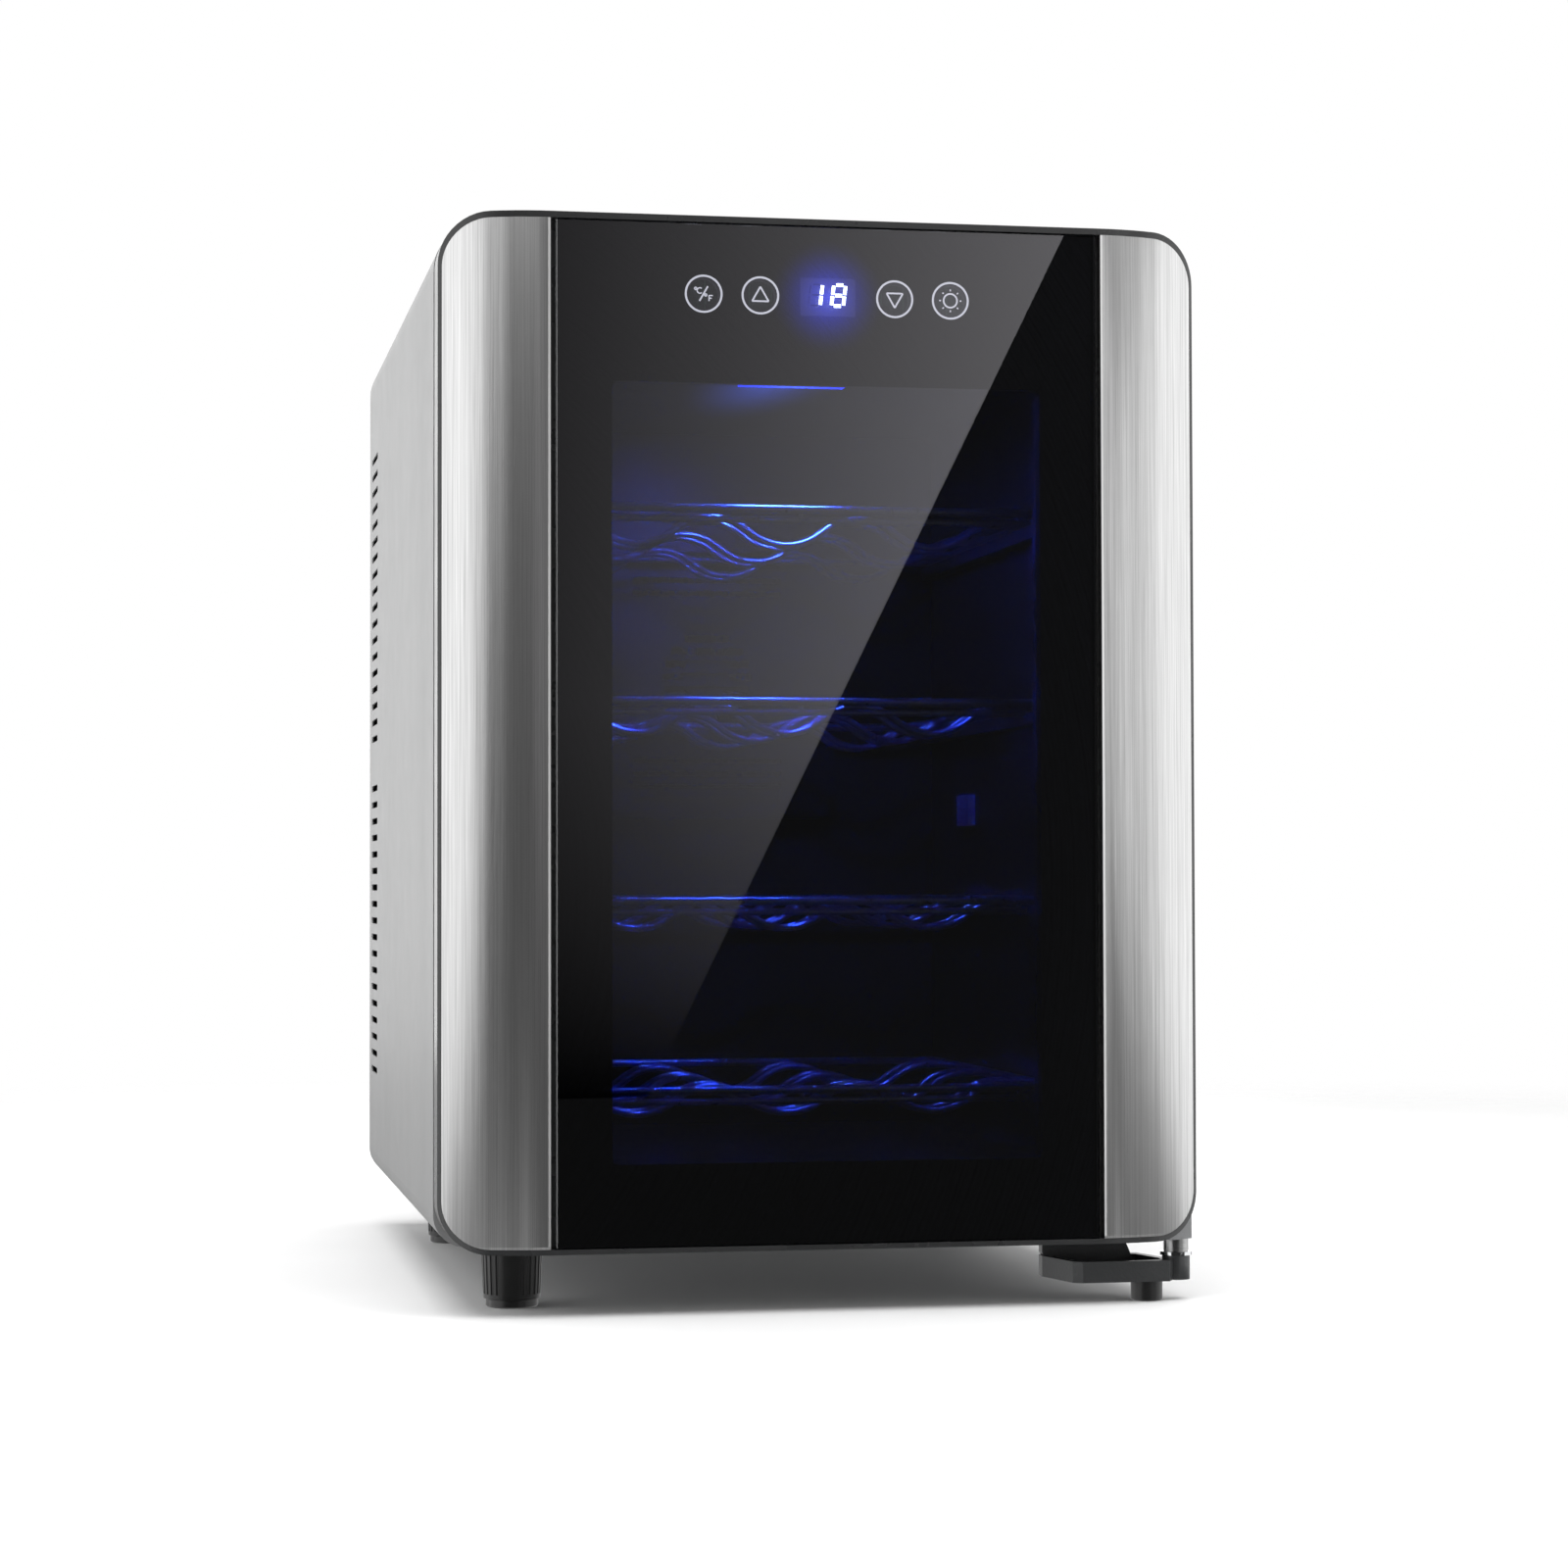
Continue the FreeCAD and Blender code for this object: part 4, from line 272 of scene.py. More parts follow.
UPRIGHT = (1.0, 1.0, 0.004)
ROLL_WIDTH = 1.1 * MM
trim_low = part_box("door_trim_right")[0]
PANEL_EDGES = (trim_low.x, trim_low.z, ROLL_WIDTH)
PANEL_STEEL = brushed_steel(
    "upright_brushed_stainless", grey(0.42), grey(0.78),
    roughness=0.33, pull=UPRIGHT, groove=0.05 * MM, rolled=PANEL_EDGES)
PIN_STEEL = brushed_steel(
    "turned_steel", grey(0.34), grey(0.55),
    roughness=0.28, pull=(0.1, 0.1, 1.0), groove=0.015 * MM)
SCREW_STEEL = brushed_steel(
    "zinc_plated_screw", grey(0.45, 0.04), grey(0.62, 0.04),
    roughness=0.26, pull=(0.4, 0.4, 0.4), groove=0.01 * MM)
SINK_ALUMINIUM = brushed_steel(
    "sawn_aluminium", grey(0.55, 0.02), grey(0.74, 0.02),
    roughness=0.4, pull=(0.06, 1.0, 0.3), groove=0.03 * MM)
SPACER_METAL = brushed_steel(
    "black_anodised_spacer", grey(0.02), grey(0.04),
    roughness=0.4, pull=(0.1, 1.0, 0.1), groove=0.01 * MM)
BRASS = brushed_steel(
    "turned_brass", (0.48, 0.32, 0.10), (0.66, 0.46, 0.18),
    roughness=0.3, pull=(0.2, 0.2, 1.0), groove=0.01 * MM)

# %% [markdown]
# ## Finish 3: moulded plastic
# Frames, fans, feet and covers are injection-moulded. The tool is spark-eroded, which leaves a fine
# even texture of pits well under a millimetre, and handling polishes it unevenly. A noise bump at a
# small scale makes the texture, and a slow noise moves the roughness. The tub's ceiling round the
# lamp is washed in blue by its light. A small lamp under a ceiling can't light it evenly, and that
# light is painted on: the plastic there has a soft blue emission, which fades with distance from the
# lens.

# %% Moulded plastic
HAZE_FALL = 2.2


def haze_round(finish, centre, reach, squeeze=(1.0, 1.0, 1.0)):
    """1 at a point, fading to 0 at a distance; squeeze narrows the haze along an axis."""
    middle = tuple(c * q for c, q in zip(centre, squeeze))
    sockets = {0: finish.stretched(squeeze), 1: middle}
    far = finish.node("ShaderNodeVectorMath", {"operation": "DISTANCE"}, sockets).outputs["Value"]
    return (1.0 - Value(finish, far) * (1.0 / reach)).most(0.0) ** HAZE_FALL


# Colour and strength of the lamp light painted on the liner's ceiling.
PAINTED_LAMP_LIGHT_BLUE = (0.10, 0.19, 1.0)
PAINTED_LAMP_LIGHT_STRENGTH = 1.5


def moulded_plastic(name, dark, light, roughness, grain_scale, grain_depth, haze=None):
    """Spark-eroded plastic: fine pits, slow drift of tone and gloss, and painted blue lamp light if
    haze is given.
    """
    finish = Finish(name)
    drift = finish.noise(scale=35.0, detail=4.0, roughness=0.6)
    pits = finish.noise(grain_scale, 3.0, 0.55)
    tone = drift * 0.6 + pits * 0.4
    shader = finish.surface(
        Base_Color=finish.ramp(tone, [(0.3, dark), (0.7, light)]),
        Roughness=finish.between(drift, roughness - 0.06, roughness + 0.1),
        Normal=finish.bump(pits, grain_depth),
    )
    # Painted lamp light: a blue emission on the plastic, strongest round the haze's centre and fading
    # away from it.
    if haze:
        glow = haze_round(finish, *haze)
        painted_lamp_colour = finish.ramp(glow, [(0.0, grey(0.0)), (1.0, PAINTED_LAMP_LIGHT_BLUE)])
        finish.plug(shader.node.inputs["Emission Color"], painted_lamp_colour)
        finish.plug(shader.node.inputs["Emission Strength"], PAINTED_LAMP_LIGHT_STRENGTH)
    return finish.show(shader)


FRAME_PLASTIC = moulded_plastic(
    "dark_grey_door_plastic", grey(0.022, 0.05), grey(0.032, 0.05),
    roughness=0.26, grain_scale=1800.0, grain_depth=0.02 * MM)
LENS_LOW, LENS_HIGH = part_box("lamp_lens")
LENS = (LENS_LOW + LENS_HIGH) / 2
# The painted lamp light on the ceiling centres a little behind and above the lens, reaches 150 mm and
# narrows along X.
HAZE_BACK, HAZE_UP, HAZE_REACH = 70.0 * MM, 10.0 * MM, 150.0 * MM
HAZE_SQUEEZE = (3.6, 1.0, 1.0)
PAINTED_LAMP_LIGHT_SPOT = ((LENS.x, LENS.y + HAZE_BACK, LENS.z + HAZE_UP), HAZE_REACH, HAZE_SQUEEZE)
LINER_PLASTIC = moulded_plastic(
    "black_formed_liner", grey(0.016, 0.1), grey(0.026, 0.1),
    roughness=0.3, grain_scale=500.0, grain_depth=0.02 * MM, haze=PAINTED_LAMP_LIGHT_SPOT)
BLACK_PLASTIC = moulded_plastic(
    "black_moulded_plastic", grey(0.016), grey(0.026),
    roughness=0.5, grain_scale=1500.0, grain_depth=0.04 * MM)
FAN_PLASTIC = moulded_plastic(
    "black_fan_plastic", grey(0.014), grey(0.022),
    roughness=0.34, grain_scale=900.0, grain_depth=0.02 * MM)
INLET_PLASTIC = moulded_plastic(
    "black_inlet_plastic", grey(0.012), grey(0.02),
    roughness=0.45, grain_scale=1600.0, grain_depth=0.03 * MM)
FOOT_PLASTIC = moulded_plastic(
    "black_foot_plastic", grey(0.012), grey(0.02),
    roughness=0.28, grain_scale=1300.0, grain_depth=0.03 * MM)
LAMP_WHITE = moulded_plastic(
    "white_lamp_plastic", grey(0.60, 0.03), grey(0.70, 0.03),
    roughness=0.35, grain_scale=1500.0, grain_depth=0.02 * MM)
MAGNET_STRIP = moulded_plastic(
    "bonded_magnet_strip", (0.03, 0.022, 0.02), (0.05, 0.04, 0.036),
    roughness=0.6, grain_scale=900.0, grain_depth=0.03 * MM)

# %% [markdown]
# ## Finish 4: rubber, ceramic, foam and boards
# The soft seal is matt rubber with fine extrusion lines along its length. The module's ceramic is
# nearly white and dry. Foam shows cut cells. A circuit board is a green lacquer over copper tracks,
# which a brick pattern suggests: straight, narrow, and a little raised.

# %% Rubber, ceramic, foam and boards
def seal_rubber():
    """Matt extruded rubber: fine lines along its length, and a little dust."""
    finish = Finish("door_seal_rubber")
    dust = finish.noise(scale=90.0, detail=5.0, roughness=0.65)
    lines = finish.noise(scale=1.0, detail=2.0, roughness=0.5, stretch=(60.0, 2400.0, 60.0))
    shader = finish.surface(
        Base_Color=finish.ramp(dust, [(0.35, grey(0.018)), (0.75, grey(0.034))]),
        Roughness=finish.between(dust, 0.55, 0.75),
        Normal=finish.bump(lines, 0.03 * MM),
    )
    return finish.show(shader)


def dry_ceramic():
    """Unglazed ceramic with fine specks."""
    finish = Finish("white_ceramic")
    specks = finish.noise(scale=1800.0, detail=3.0, roughness=0.6)
    shader = finish.surface(
        Base_Color=finish.ramp(specks, [(0.35, (0.66, 0.65, 0.60)), (0.7, (0.80, 0.79, 0.75))]),
        Roughness=finish.between(specks, 0.45, 0.65),
        Normal=finish.bump(specks, 0.02 * MM),
    )
    return finish.show(shader)


def cut_foam():
    """Cut cells about a millimetre across."""
    finish = Finish("cut_yellow_foam")
    sockets = {"Vector": finish.places, "Scale": 900.0}
    cells = Value(finish, finish.node("ShaderNodeTexVoronoi", None, sockets).outputs["Distance"])
    shader = finish.surface(
        Base_Color=finish.ramp(cells, [(0.1, (0.62, 0.50, 0.24)), (0.7, (0.80, 0.70, 0.42))]),
        Roughness=finish.between(cells, 0.7, 0.9),
        Normal=finish.bump(cells, 0.2 * MM),
    )
    return finish.show(shader)


def circuit_board():
    """Green lacquer over copper tracks, on a fine glass weave."""
    finish = Finish("green_board_lacquer")
    sockets = {"Vector": finish.places, "Scale": 160.0, "Mortar Size": 0.06, "Brick Width": 1.6}
    tracks = Value(finish, finish.node("ShaderNodeTexBrick", None, sockets).outputs["Fac"])
    weave = finish.noise(scale=900.0, detail=2.0, roughness=0.5)
    tone = tracks * 0.5 + weave * 0.3
    shader = finish.surface(
        Base_Color=finish.ramp(tone, [(0.1, (0.008, 0.07, 0.022)), (0.7, (0.05, 0.22, 0.09))]),
        Roughness=finish.between(weave, 0.3, 0.45),
        Normal=finish.bump(tracks, 0.05 * MM),
    )
    return finish.show(shader)


SEAL_RUBBER = seal_rubber()
MODULE_CERAMIC = dry_ceramic()
FOAM = cut_foam()
BOARD_GREEN = circuit_board()

# %% [markdown]
# ## Finish 5: chrome
# The shelf wires and the hinge washer are bright chrome. Chrome over drawn wire isn't a perfect
# mirror: it carries faint drawing lines and a little haze, so roughness moves between two low
# values and a very shallow bump breaks up long highlights.

# %% Chrome
def bright_chrome(name, haze, wave):
    """Chrome over drawn metal; haze is its lowest roughness and wave the height of its lines."""
    finish = Finish(name)
    cloud = finish.noise(scale=120.0, detail=4.0, roughness=0.6)
    drawn = finish.noise(scale=420.0, detail=2.0, roughness=0.5)
    shader = finish.surface(
        Base_Color=finish.ramp(cloud, [(0.3, grey(0.60, 0.03)), (0.7, grey(0.74, 0.03))]),
        Roughness=finish.between(cloud, haze, haze + 0.1),
        Metallic=1.0,
        Normal=finish.bump(drawn, wave),
    )
    return finish.show(shader)


SHELF_CHROME = bright_chrome("shelf_wire_chrome", haze=0.24, wave=0.1 * MM)
WASHER_CHROME = bright_chrome("washer_chrome", haze=0.06, wave=0.02 * MM)

# %% [markdown]
# ## Finish 6: the door's glass
# The front sheet is smoked glass, and a second sheet behind it seals the air gap. A pane this thin
# hardly bends light, so it is made from two shaders: a Transparent one whose colour is the smoke,
# and a mirror-like Glossy one, mixed by Fresnel so that it reflects more at a slant. Faint smears
# move the gloss, as wiped glass has.

# %% Glass
def smoked_glass(name, smoke, mirror):
    """Thin glass: smoke is the colour it lets through, and mirror multiplies its reflection."""
    finish = Finish(name)
    smears = finish.noise(scale=14.0, detail=5.0, roughness=0.6, stretch=(1.0, 1.0, 0.4))
    see_through = finish.node("ShaderNodeBsdfTransparent", None, {"Color": (*smoke, 1.0)})
    wiped = {"Color": (0.97, 0.98, 1.0, 1.0), "Roughness": (smears - 0.55).most(0.0) * 0.12}
    sheen = finish.node("ShaderNodeBsdfGlossy", None, wiped)
    slant = Value(finish, finish.node("ShaderNodeFresnel", None, {"IOR": 1.45}).outputs[0])
    both = {0: slant * mirror, 1: see_through.outputs[0], 2: sheen.outputs[0]}
    return finish.show(finish.node("ShaderNodeMixShader", None, both).outputs[0])


FRONT_GLASS = smoked_glass("smoked_front_glass", smoke=(0.52, 0.53, 0.58), mirror=3.2)
INNER_GLASS = smoked_glass("clear_inner_glass", smoke=(0.90, 0.91, 0.93), mirror=0.35)

# %% [markdown]
# ## Finish 7: the printed border and the lit parts
# The border is black ceramic ink fired on the back of the front sheet. Light from the display
# spreads in the ink and the glass as a blue haze, which falls off with distance. That light is
# painted on: the ink has a little blue emission round the display. The lens of the lamp and the
# digits are lit: an Emission colour does that, strongest in the middle of the lens, where the diodes
# sit.

# %% Ink, lens and lit marks
HALO_REACH = 27.0 * MM


def black_ink(display_centre):
    """Fired ink, with the display's light spreading in it painted on as a blue halo emission."""
    finish = Finish("black_fired_ink")
    mottle = finish.noise(scale=300.0, detail=3.0, roughness=0.6)
    # Painted light: the display's light in the ink, as a blue emission that fades with distance.
    halo = haze_round(finish, display_centre, HALO_REACH)
    tones = {0: halo, 6: (0.0, 0.0, 0.0, 1.0), 7: (0.03, 0.05, 1.0, 1.0)}
    blue = finish.node("ShaderNodeMix", {"data_type": "RGBA"}, tones)
    shader = finish.surface(
        Base_Color=finish.ramp(mottle, [(0.3, grey(0.0025)), (0.7, grey(0.0045))]),
        Roughness=finish.between(mottle, 0.3, 0.4),
        Emission_Color=blue.outputs[2],
        Emission_Strength=1.25,
    )
    return finish.show(shader)


def lit(name, edge, middle, centre, reach, strength, body=0.02):
    """A diffuser: its light goes from one colour at the middle to another at the edge; on unlit marks
    that light is painted stray light.
    """
    finish = Finish(name)
    glow = haze_round(finish, centre, reach)
    grain = finish.noise(scale=1500.0, detail=2.0, roughness=0.5)
    shader = finish.surface(
        Base_Color=finish.ramp(grain, [(0.3, grey(body, 0.1)), (0.7, grey(body * 1.3, 0.1))]),
        Roughness=finish.between(grain, 0.4, 0.5),
        Emission_Color=finish.ramp(glow, [(0.0, edge), (1.0, middle)]),
        Emission_Strength=strength,
    )
    return finish.show(shader)


DISPLAY_LOW, DISPLAY_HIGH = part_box("display_module")
DISPLAY = (DISPLAY_LOW + DISPLAY_HIGH) / 2
GLOW_CENTRE = (DISPLAY.x, DISPLAY_LOW.y, DISPLAY.z)
BLACK_INK = black_ink(GLOW_CENTRE)
LAMP_LENS = lit(
    "blue_lamp_lens", (0.01, 0.03, 0.8), (0.10, 0.22, 1.0), LENS, reach=0.03, strength=9.0, body=0.5)
DISPLAY_FACE = lit(
    "display_face", (0.0, 0.0, 0.10), (0.06, 0.09, 1.0), GLOW_CENTRE, reach=0.022, strength=2.6)
RING_GUIDE = lit(
    "ring_light_guide", (0.01, 0.01, 0.012), (0.014, 0.014, 0.018), DISPLAY, reach=0.1, strength=1.0)
MARK_LIGHT = lit(
    "pale_key_mark", (0.50, 0.50, 0.53), (0.56, 0.56, 0.59), DISPLAY, reach=0.1, strength=2.2)
DIGIT_LIGHT = lit(
    "lit_digit", (0.45, 0.55, 1.0), (0.75, 0.82, 1.0), DISPLAY, reach=0.02, strength=9.0)
# The unlit bars glow dim blue: painted stray light, not a lamp.
DIGIT_OFF = lit(
    "unlit_digit_painted_glow", (0.02, 0.03, 0.45), (0.03, 0.05, 0.75), DISPLAY, reach=0.02, strength=0.8)

# %% [markdown]
# ## Giving every node its finish
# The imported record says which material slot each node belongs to. One table turns a slot's name
# into a finish, and a loop puts it on the node. The inner glass shares its slot with the front
# sheet but is clear, so it is set afterwards.

# %% Assign the finishes
FINISHES = {
    "silver_paint": SILVER_PAINT, "floor_steel": FLOOR_PAINT, "frame_plastic": FRAME_PLASTIC,
    "liner_plastic": LINER_PLASTIC, "foam": FOAM, "bulkhead_steel": BULKHEAD_PAINT,
    "rear_paint": REAR_PAINT, "black_plastic": BLACK_PLASTIC, "brass_insert": BRASS,
    "lamp_white": LAMP_WHITE, "lamp_diffuser": LAMP_LENS, "board_green": BOARD_GREEN,
    "sink_aluminium": SINK_ALUMINIUM, "module_ceramic": MODULE_CERAMIC, "fan_plastic": FAN_PLASTIC,
    "inlet_plastic": INLET_PLASTIC, "hinge_paint": HINGE_PAINT, "pin_steel": PIN_STEEL,
    "washer_chrome": WASHER_CHROME, "screw_steel": SCREW_STEEL, "panel_steel": PANEL_STEEL,
    "clear_glass": FRONT_GLASS, "black_print": BLACK_INK, "spacer_aluminium": SPACER_METAL,
    "seal_rubber": SEAL_RUBBER, "magnet_strip": MAGNET_STRIP, "display_glow": DISPLAY_FACE,
    "touch_glow": RING_GUIDE, "shelf_chrome": SHELF_CHROME, "foot_plastic": FOOT_PLASTIC,
    "hinge_block_metal": BLOCK_PAINT,
}


def wear(node_name, material):
    """Puts a finish on a frame node."""
    frame["nodes"][node_name].material_slots[0].material = material


for row in frame["record"]["subparts"]:
    wear(row["node"], FINISHES[row["material_slot"]])
wear("inner_glass", INNER_GLASS)
print("finishes:", len(FINISHES))

# %% [markdown]
# ## Bent edges
# Sheet that is folded never has a knife edge: the bend has a small radius, and that radius catches
# a line of light. A Weld modifier joins the panel's faces and a Bevel modifier rounds its sharp
# edges, which keeps the frame's own mesh as it came.

# %% Rounded sheet edges
WELD_GAP = 0.01 * MM
BEND_STEPS = 3


def round_edges(node_name, radius, least_angle):
    """Rounds every edge that turns by more than an angle in degrees."""
    node = frame["nodes"][node_name]
    weld = node.modifiers.new("joined_faces", "WELD")
    weld.merge_threshold = WELD_GAP
    bevel = node.modifiers.new("bend_radius", "BEVEL")
    bevel.width = radius
    bevel.segments = BEND_STEPS
    bevel.limit_method = "ANGLE"
    bevel.angle_limit = math.radians(least_angle)
    bevel.harden_normals = True


for trim in ("door_trim_left", "door_trim_right"):
    round_edges(trim, radius=0.38 * MM, least_angle=50.0)
round_edges("lower_hinge_bracket", radius=0.7 * MM, least_angle=35.0)

# %% [markdown]
# ## The marks behind the glass
# Four touch keys and a two-digit display sit in the ink near the top of the door. Each key shows a
# thin pale ring, where its light guide's rim is lit, with a small mark inside. On the real door
# they are openings in the ink. Here every stroke is a thin plate laid just in front of the ink,
# because a plate keeps a crisp edge at any size. A straight bar is the one shape needed: rings,
# triangles and digits are all bars, set end to end.

# %% Helpers for flat marks
MARK_THICKNESS = 0.05 * MM
MARK_BACK = DISPLAY_LOW.y - 0.22 * MM
STROKE = 0.75 * MM
FINE_STROKE = 0.7 * STROKE
RING_STROKE = 0.9 * MM
ring_low, ring_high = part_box("touch_rings")
RING_RADIUS = (ring_high.z - ring_low.z) / 2
INNER_KEY = 30.5 * MM
KEY_X = (ring_low.x + RING_RADIUS, -INNER_KEY, INNER_KEY, ring_high.x - RING_RADIUS)


def as_object(name, mesh, material):
    """Turns a bmesh into an object with one material."""
    data = bpy.data.meshes.new(name)
    mesh.to_mesh(data)
    mesh.free()
    data.materials.append(material)
    made = bpy.data.objects.new(name, data)
    bpy.context.scene.collection.objects.link(made)
    return made


def door_piece(name, mesh, material):
    """Turns a bmesh into a piece that rides on the door."""
    bmesh.ops.recalc_face_normals(mesh, faces=mesh.faces)
    piece = as_object(name, mesh, material)
    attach(piece, "door")
    return piece


def thicken(mesh, faces):
    """Pulls flat faces drawn in X and Z towards the front, into thin plates."""
    grown = bmesh.ops.extrude_face_region(mesh, geom=faces)
    moved = [v for v in grown["geom"] if isinstance(v, bmesh.types.BMVert)]
    bmesh.ops.translate(mesh, verts=moved, vec=(0.0, -MARK_THICKNESS, 0.0))


def lay_flat(mesh, verts, x, z, turn):
    """Stands a shape drawn in X and Y upright, turns it and moves it to its place behind the glass."""
    upright = Matrix.Rotation(math.pi / 2, 4, "X")
    turned = Matrix.Rotation(turn, 4, "Y")
    place = Matrix.Translation((x, MARK_BACK, z))
    bmesh.ops.transform(mesh, matrix=place @ turned @ upright, verts=verts)


def bar(mesh, start, end, width):
    """A straight stroke between two points in X and Z, with pointed ends."""
    run = Vector((end[0] - start[0], end[1] - start[1]))
    made = bmesh.ops.create_circle(mesh, cap_ends=True, segments=4, radius=width / 2)
    verts = made["verts"]
    bmesh.ops.rotate(mesh, verts=verts, cent=(0, 0, 0), matrix=Matrix.Rotation(math.pi / 4, 3, "Z"))
    for v in verts:
        side = 1.0 if v.co.x > 0 else -1.0
        v.co.x = side * run.length / 2
        v.co.y = math.copysign(width / 2, v.co.y)
    lay_flat(mesh, verts, (start[0] + end[0]) / 2, (start[1] + end[1]) / 2, -math.atan2(run.y, run.x))
    thicken(mesh, list({f for v in verts for f in v.link_faces}))


def loop_of_bars(mesh, corners, width):
    """Strokes from each corner to the next, and back to the first."""
    for start, end in zip(corners, corners[1:] + corners[:1]):
        bar(mesh, start, end, width)


def on_circle(x, z, radius, degrees):
    """A point on a circle in X and Z."""
    turn = math.radians(degrees)
    return (x + radius * math.cos(turn), z + radius * math.sin(turn))


# %% [markdown]
# ### Key marks
# From left to right: the switch between Celsius and Fahrenheit, warmer, cooler, and the lamp. The
# round parts are short bars round a circle, which read as a smooth stroke at this size. Each bar
# runs a little past its end, so that no gap shows between two.

# %% Key marks
RUN_PAST = 1.15
FULL_TURN = (0.0, 360.0)
TRIANGLE_SIZE = 4.3 * MM
TRIANGLE_DROP = 0.1


def round_stroke(mesh, x, z, radius, first, last, steps, width):
    """A circular stroke between two angles in degrees, as short bars."""
    turn = (last - first) / steps
    for i in range(steps):
        start = on_circle(x, z, radius, first + turn * i)
        end = on_circle(x, z, radius, first + turn * (i + RUN_PAST))
        bar(mesh, start, end, width)


def triangle(mesh, x, z, side):
    """An equilateral outline that points up if side is 1, down if it is -1."""
    middle = z - side * TRIANGLE_DROP * TRIANGLE_SIZE
    corners = [on_circle(x, middle, TRIANGLE_SIZE, side * 90.0 + 120.0 * i) for i in range(3)]
    loop_of_bars(mesh, corners, STROKE)


def lamp_mark(mesh, x, z):
    """A small circle with eight rays."""
    round_stroke(mesh, x, z, 3.1 * MM, *FULL_TURN, 24, STROKE)
    for i in range(8):
        inner = on_circle(x, z, 4.3 * MM, 45.0 * i)
        outer = on_circle(x, z, 5.1 * MM, 45.0 * i)
        bar(mesh, inner, outer, STROKE * 0.8)


def unit_mark(mesh, x, z):
    """A degree sign and a C above a slash, a degree sign and an F below it."""
    def at(right, up):
        return (x + right * MM, z + up * MM)

    bar(mesh, at(-1.9, -3.2), at(1.9, 3.4), STROKE)
    round_stroke(mesh, *at(-3.6, 2.3), 0.55 * MM, *FULL_TURN, 8, FINE_STROKE)
    round_stroke(mesh, *at(-1.7, 1.4), 1.25 * MM, 50.0, 310.0, 10, FINE_STROKE)
    round_stroke(mesh, *at(0.9, -0.5), 0.55 * MM, *FULL_TURN, 8, FINE_STROKE)
    bar(mesh, at(2.4, -3.2), at(2.4, -0.6), FINE_STROKE)
    bar(mesh, at(2.4, -0.7), at(4.1, -0.7), FINE_STROKE)
    bar(mesh, at(2.4, -1.9), at(3.6, -1.9), FINE_STROKE)


marks = bmesh.new()
for key_x in KEY_X:
    round_stroke(marks, key_x, DISPLAY.z, RING_RADIUS - RING_STROKE / 2, *FULL_TURN, 48, RING_STROKE)
unit_mark(marks, KEY_X[0], DISPLAY.z)
triangle(marks, KEY_X[1], DISPLAY.z, 1)
triangle(marks, KEY_X[2], DISPLAY.z, -1)
lamp_mark(marks, KEY_X[3], DISPLAY.z)
key_marks = door_piece("key_marks", marks, MARK_LIGHT)
print("key marks:", len(key_marks.data.polygons), "faces")

# %% [markdown]
# ### The digits
# A seven-segment digit is seven pointed bars that lean a little to the right. Two lists say which
# segments are lit: for an 18, the first digit has only its two right-hand bars. The unlit bars
# catch stray light, so they are made too, with that light painted on as a dim blue glow.

# %% Seven-segment digits
DIGIT_WIDTH = 5.4 * MM
DIGIT_LEVEL = DISPLAY.z + 0.9 * MM
DIGIT_HEIGHT = 9.4 * MM
SEGMENT_WIDTH = 1.55 * MM
UNLIT_WIDTH = SEGMENT_WIDTH / 2
SEGMENT_GAP = 0.35 * MM
DIGIT_LEAN = math.tan(math.radians(7.0))


def segment(mesh, digit_x, start, end, width):
    """One bar of a digit, sheared so that the digit leans."""
    def lean(point):
        return (digit_x + point[0] + point[1] * DIGIT_LEAN, DIGIT_LEVEL + point[1])

    bar(mesh, lean(start), lean(end), width)


def segment_ends():
    """Start and end of each segment round the digit's middle, in the usual order a to g."""
    half = DIGIT_WIDTH / 2
    top = DIGIT_HEIGHT / 2
    gap = SEGMENT_GAP + SEGMENT_WIDTH / 2
    return {
        "a": ((-half + gap, top), (half - gap, top)),
        "b": ((half, top - SEGMENT_GAP), (half, SEGMENT_GAP)),
        "c": ((half, -SEGMENT_GAP), (half, -top + SEGMENT_GAP)),
        "d": ((-half + gap, -top), (half - gap, -top)),
        "e": ((-half, -SEGMENT_GAP), (-half, -top + SEGMENT_GAP)),
        "f": ((-half, top - SEGMENT_GAP), (-half, SEGMENT_GAP)),
        "g": ((-half + gap, 0.0), (half - gap, 0.0)),
    }


DIGITS = ((DISPLAY.x - 5.6 * MM, "bc"), (DISPLAY.x + 4.9 * MM, "abcdefg"))
lit_bars, unlit_bars = bmesh.new(), bmesh.new()
for digit_x, lit_names in DIGITS:
    for letter, (start, end) in segment_ends().items():
        if letter in lit_names:
            segment(lit_bars, digit_x, start, end, SEGMENT_WIDTH)
        else:
            segment(unlit_bars, digit_x, start, end, UNLIT_WIDTH)
door_piece("display_digits", lit_bars, DIGIT_LIGHT)
door_piece("display_unlit_bars", unlit_bars, DIGIT_OFF)
print("digits at z =", round(DIGIT_LEVEL, 4))

# %% [markdown]
# ## Floor and background
# The cooler stands on a plain pale floor that runs into a white background. The floor is a disc
# whose far edge fades out, so that no horizon shows. It takes shadows, but mirrors don't see it,
# which keeps the dark door glass dark. The world is white to the camera and a soft fill to
# everything matt. To mirrors it is pale behind and below the cooler, where a studio has its white
# sweep, and nearly black elsewhere.

# %% Floor
FLOOR_RADIUS = 3.0
FLOOR_FADE = (0.9, 1.7)


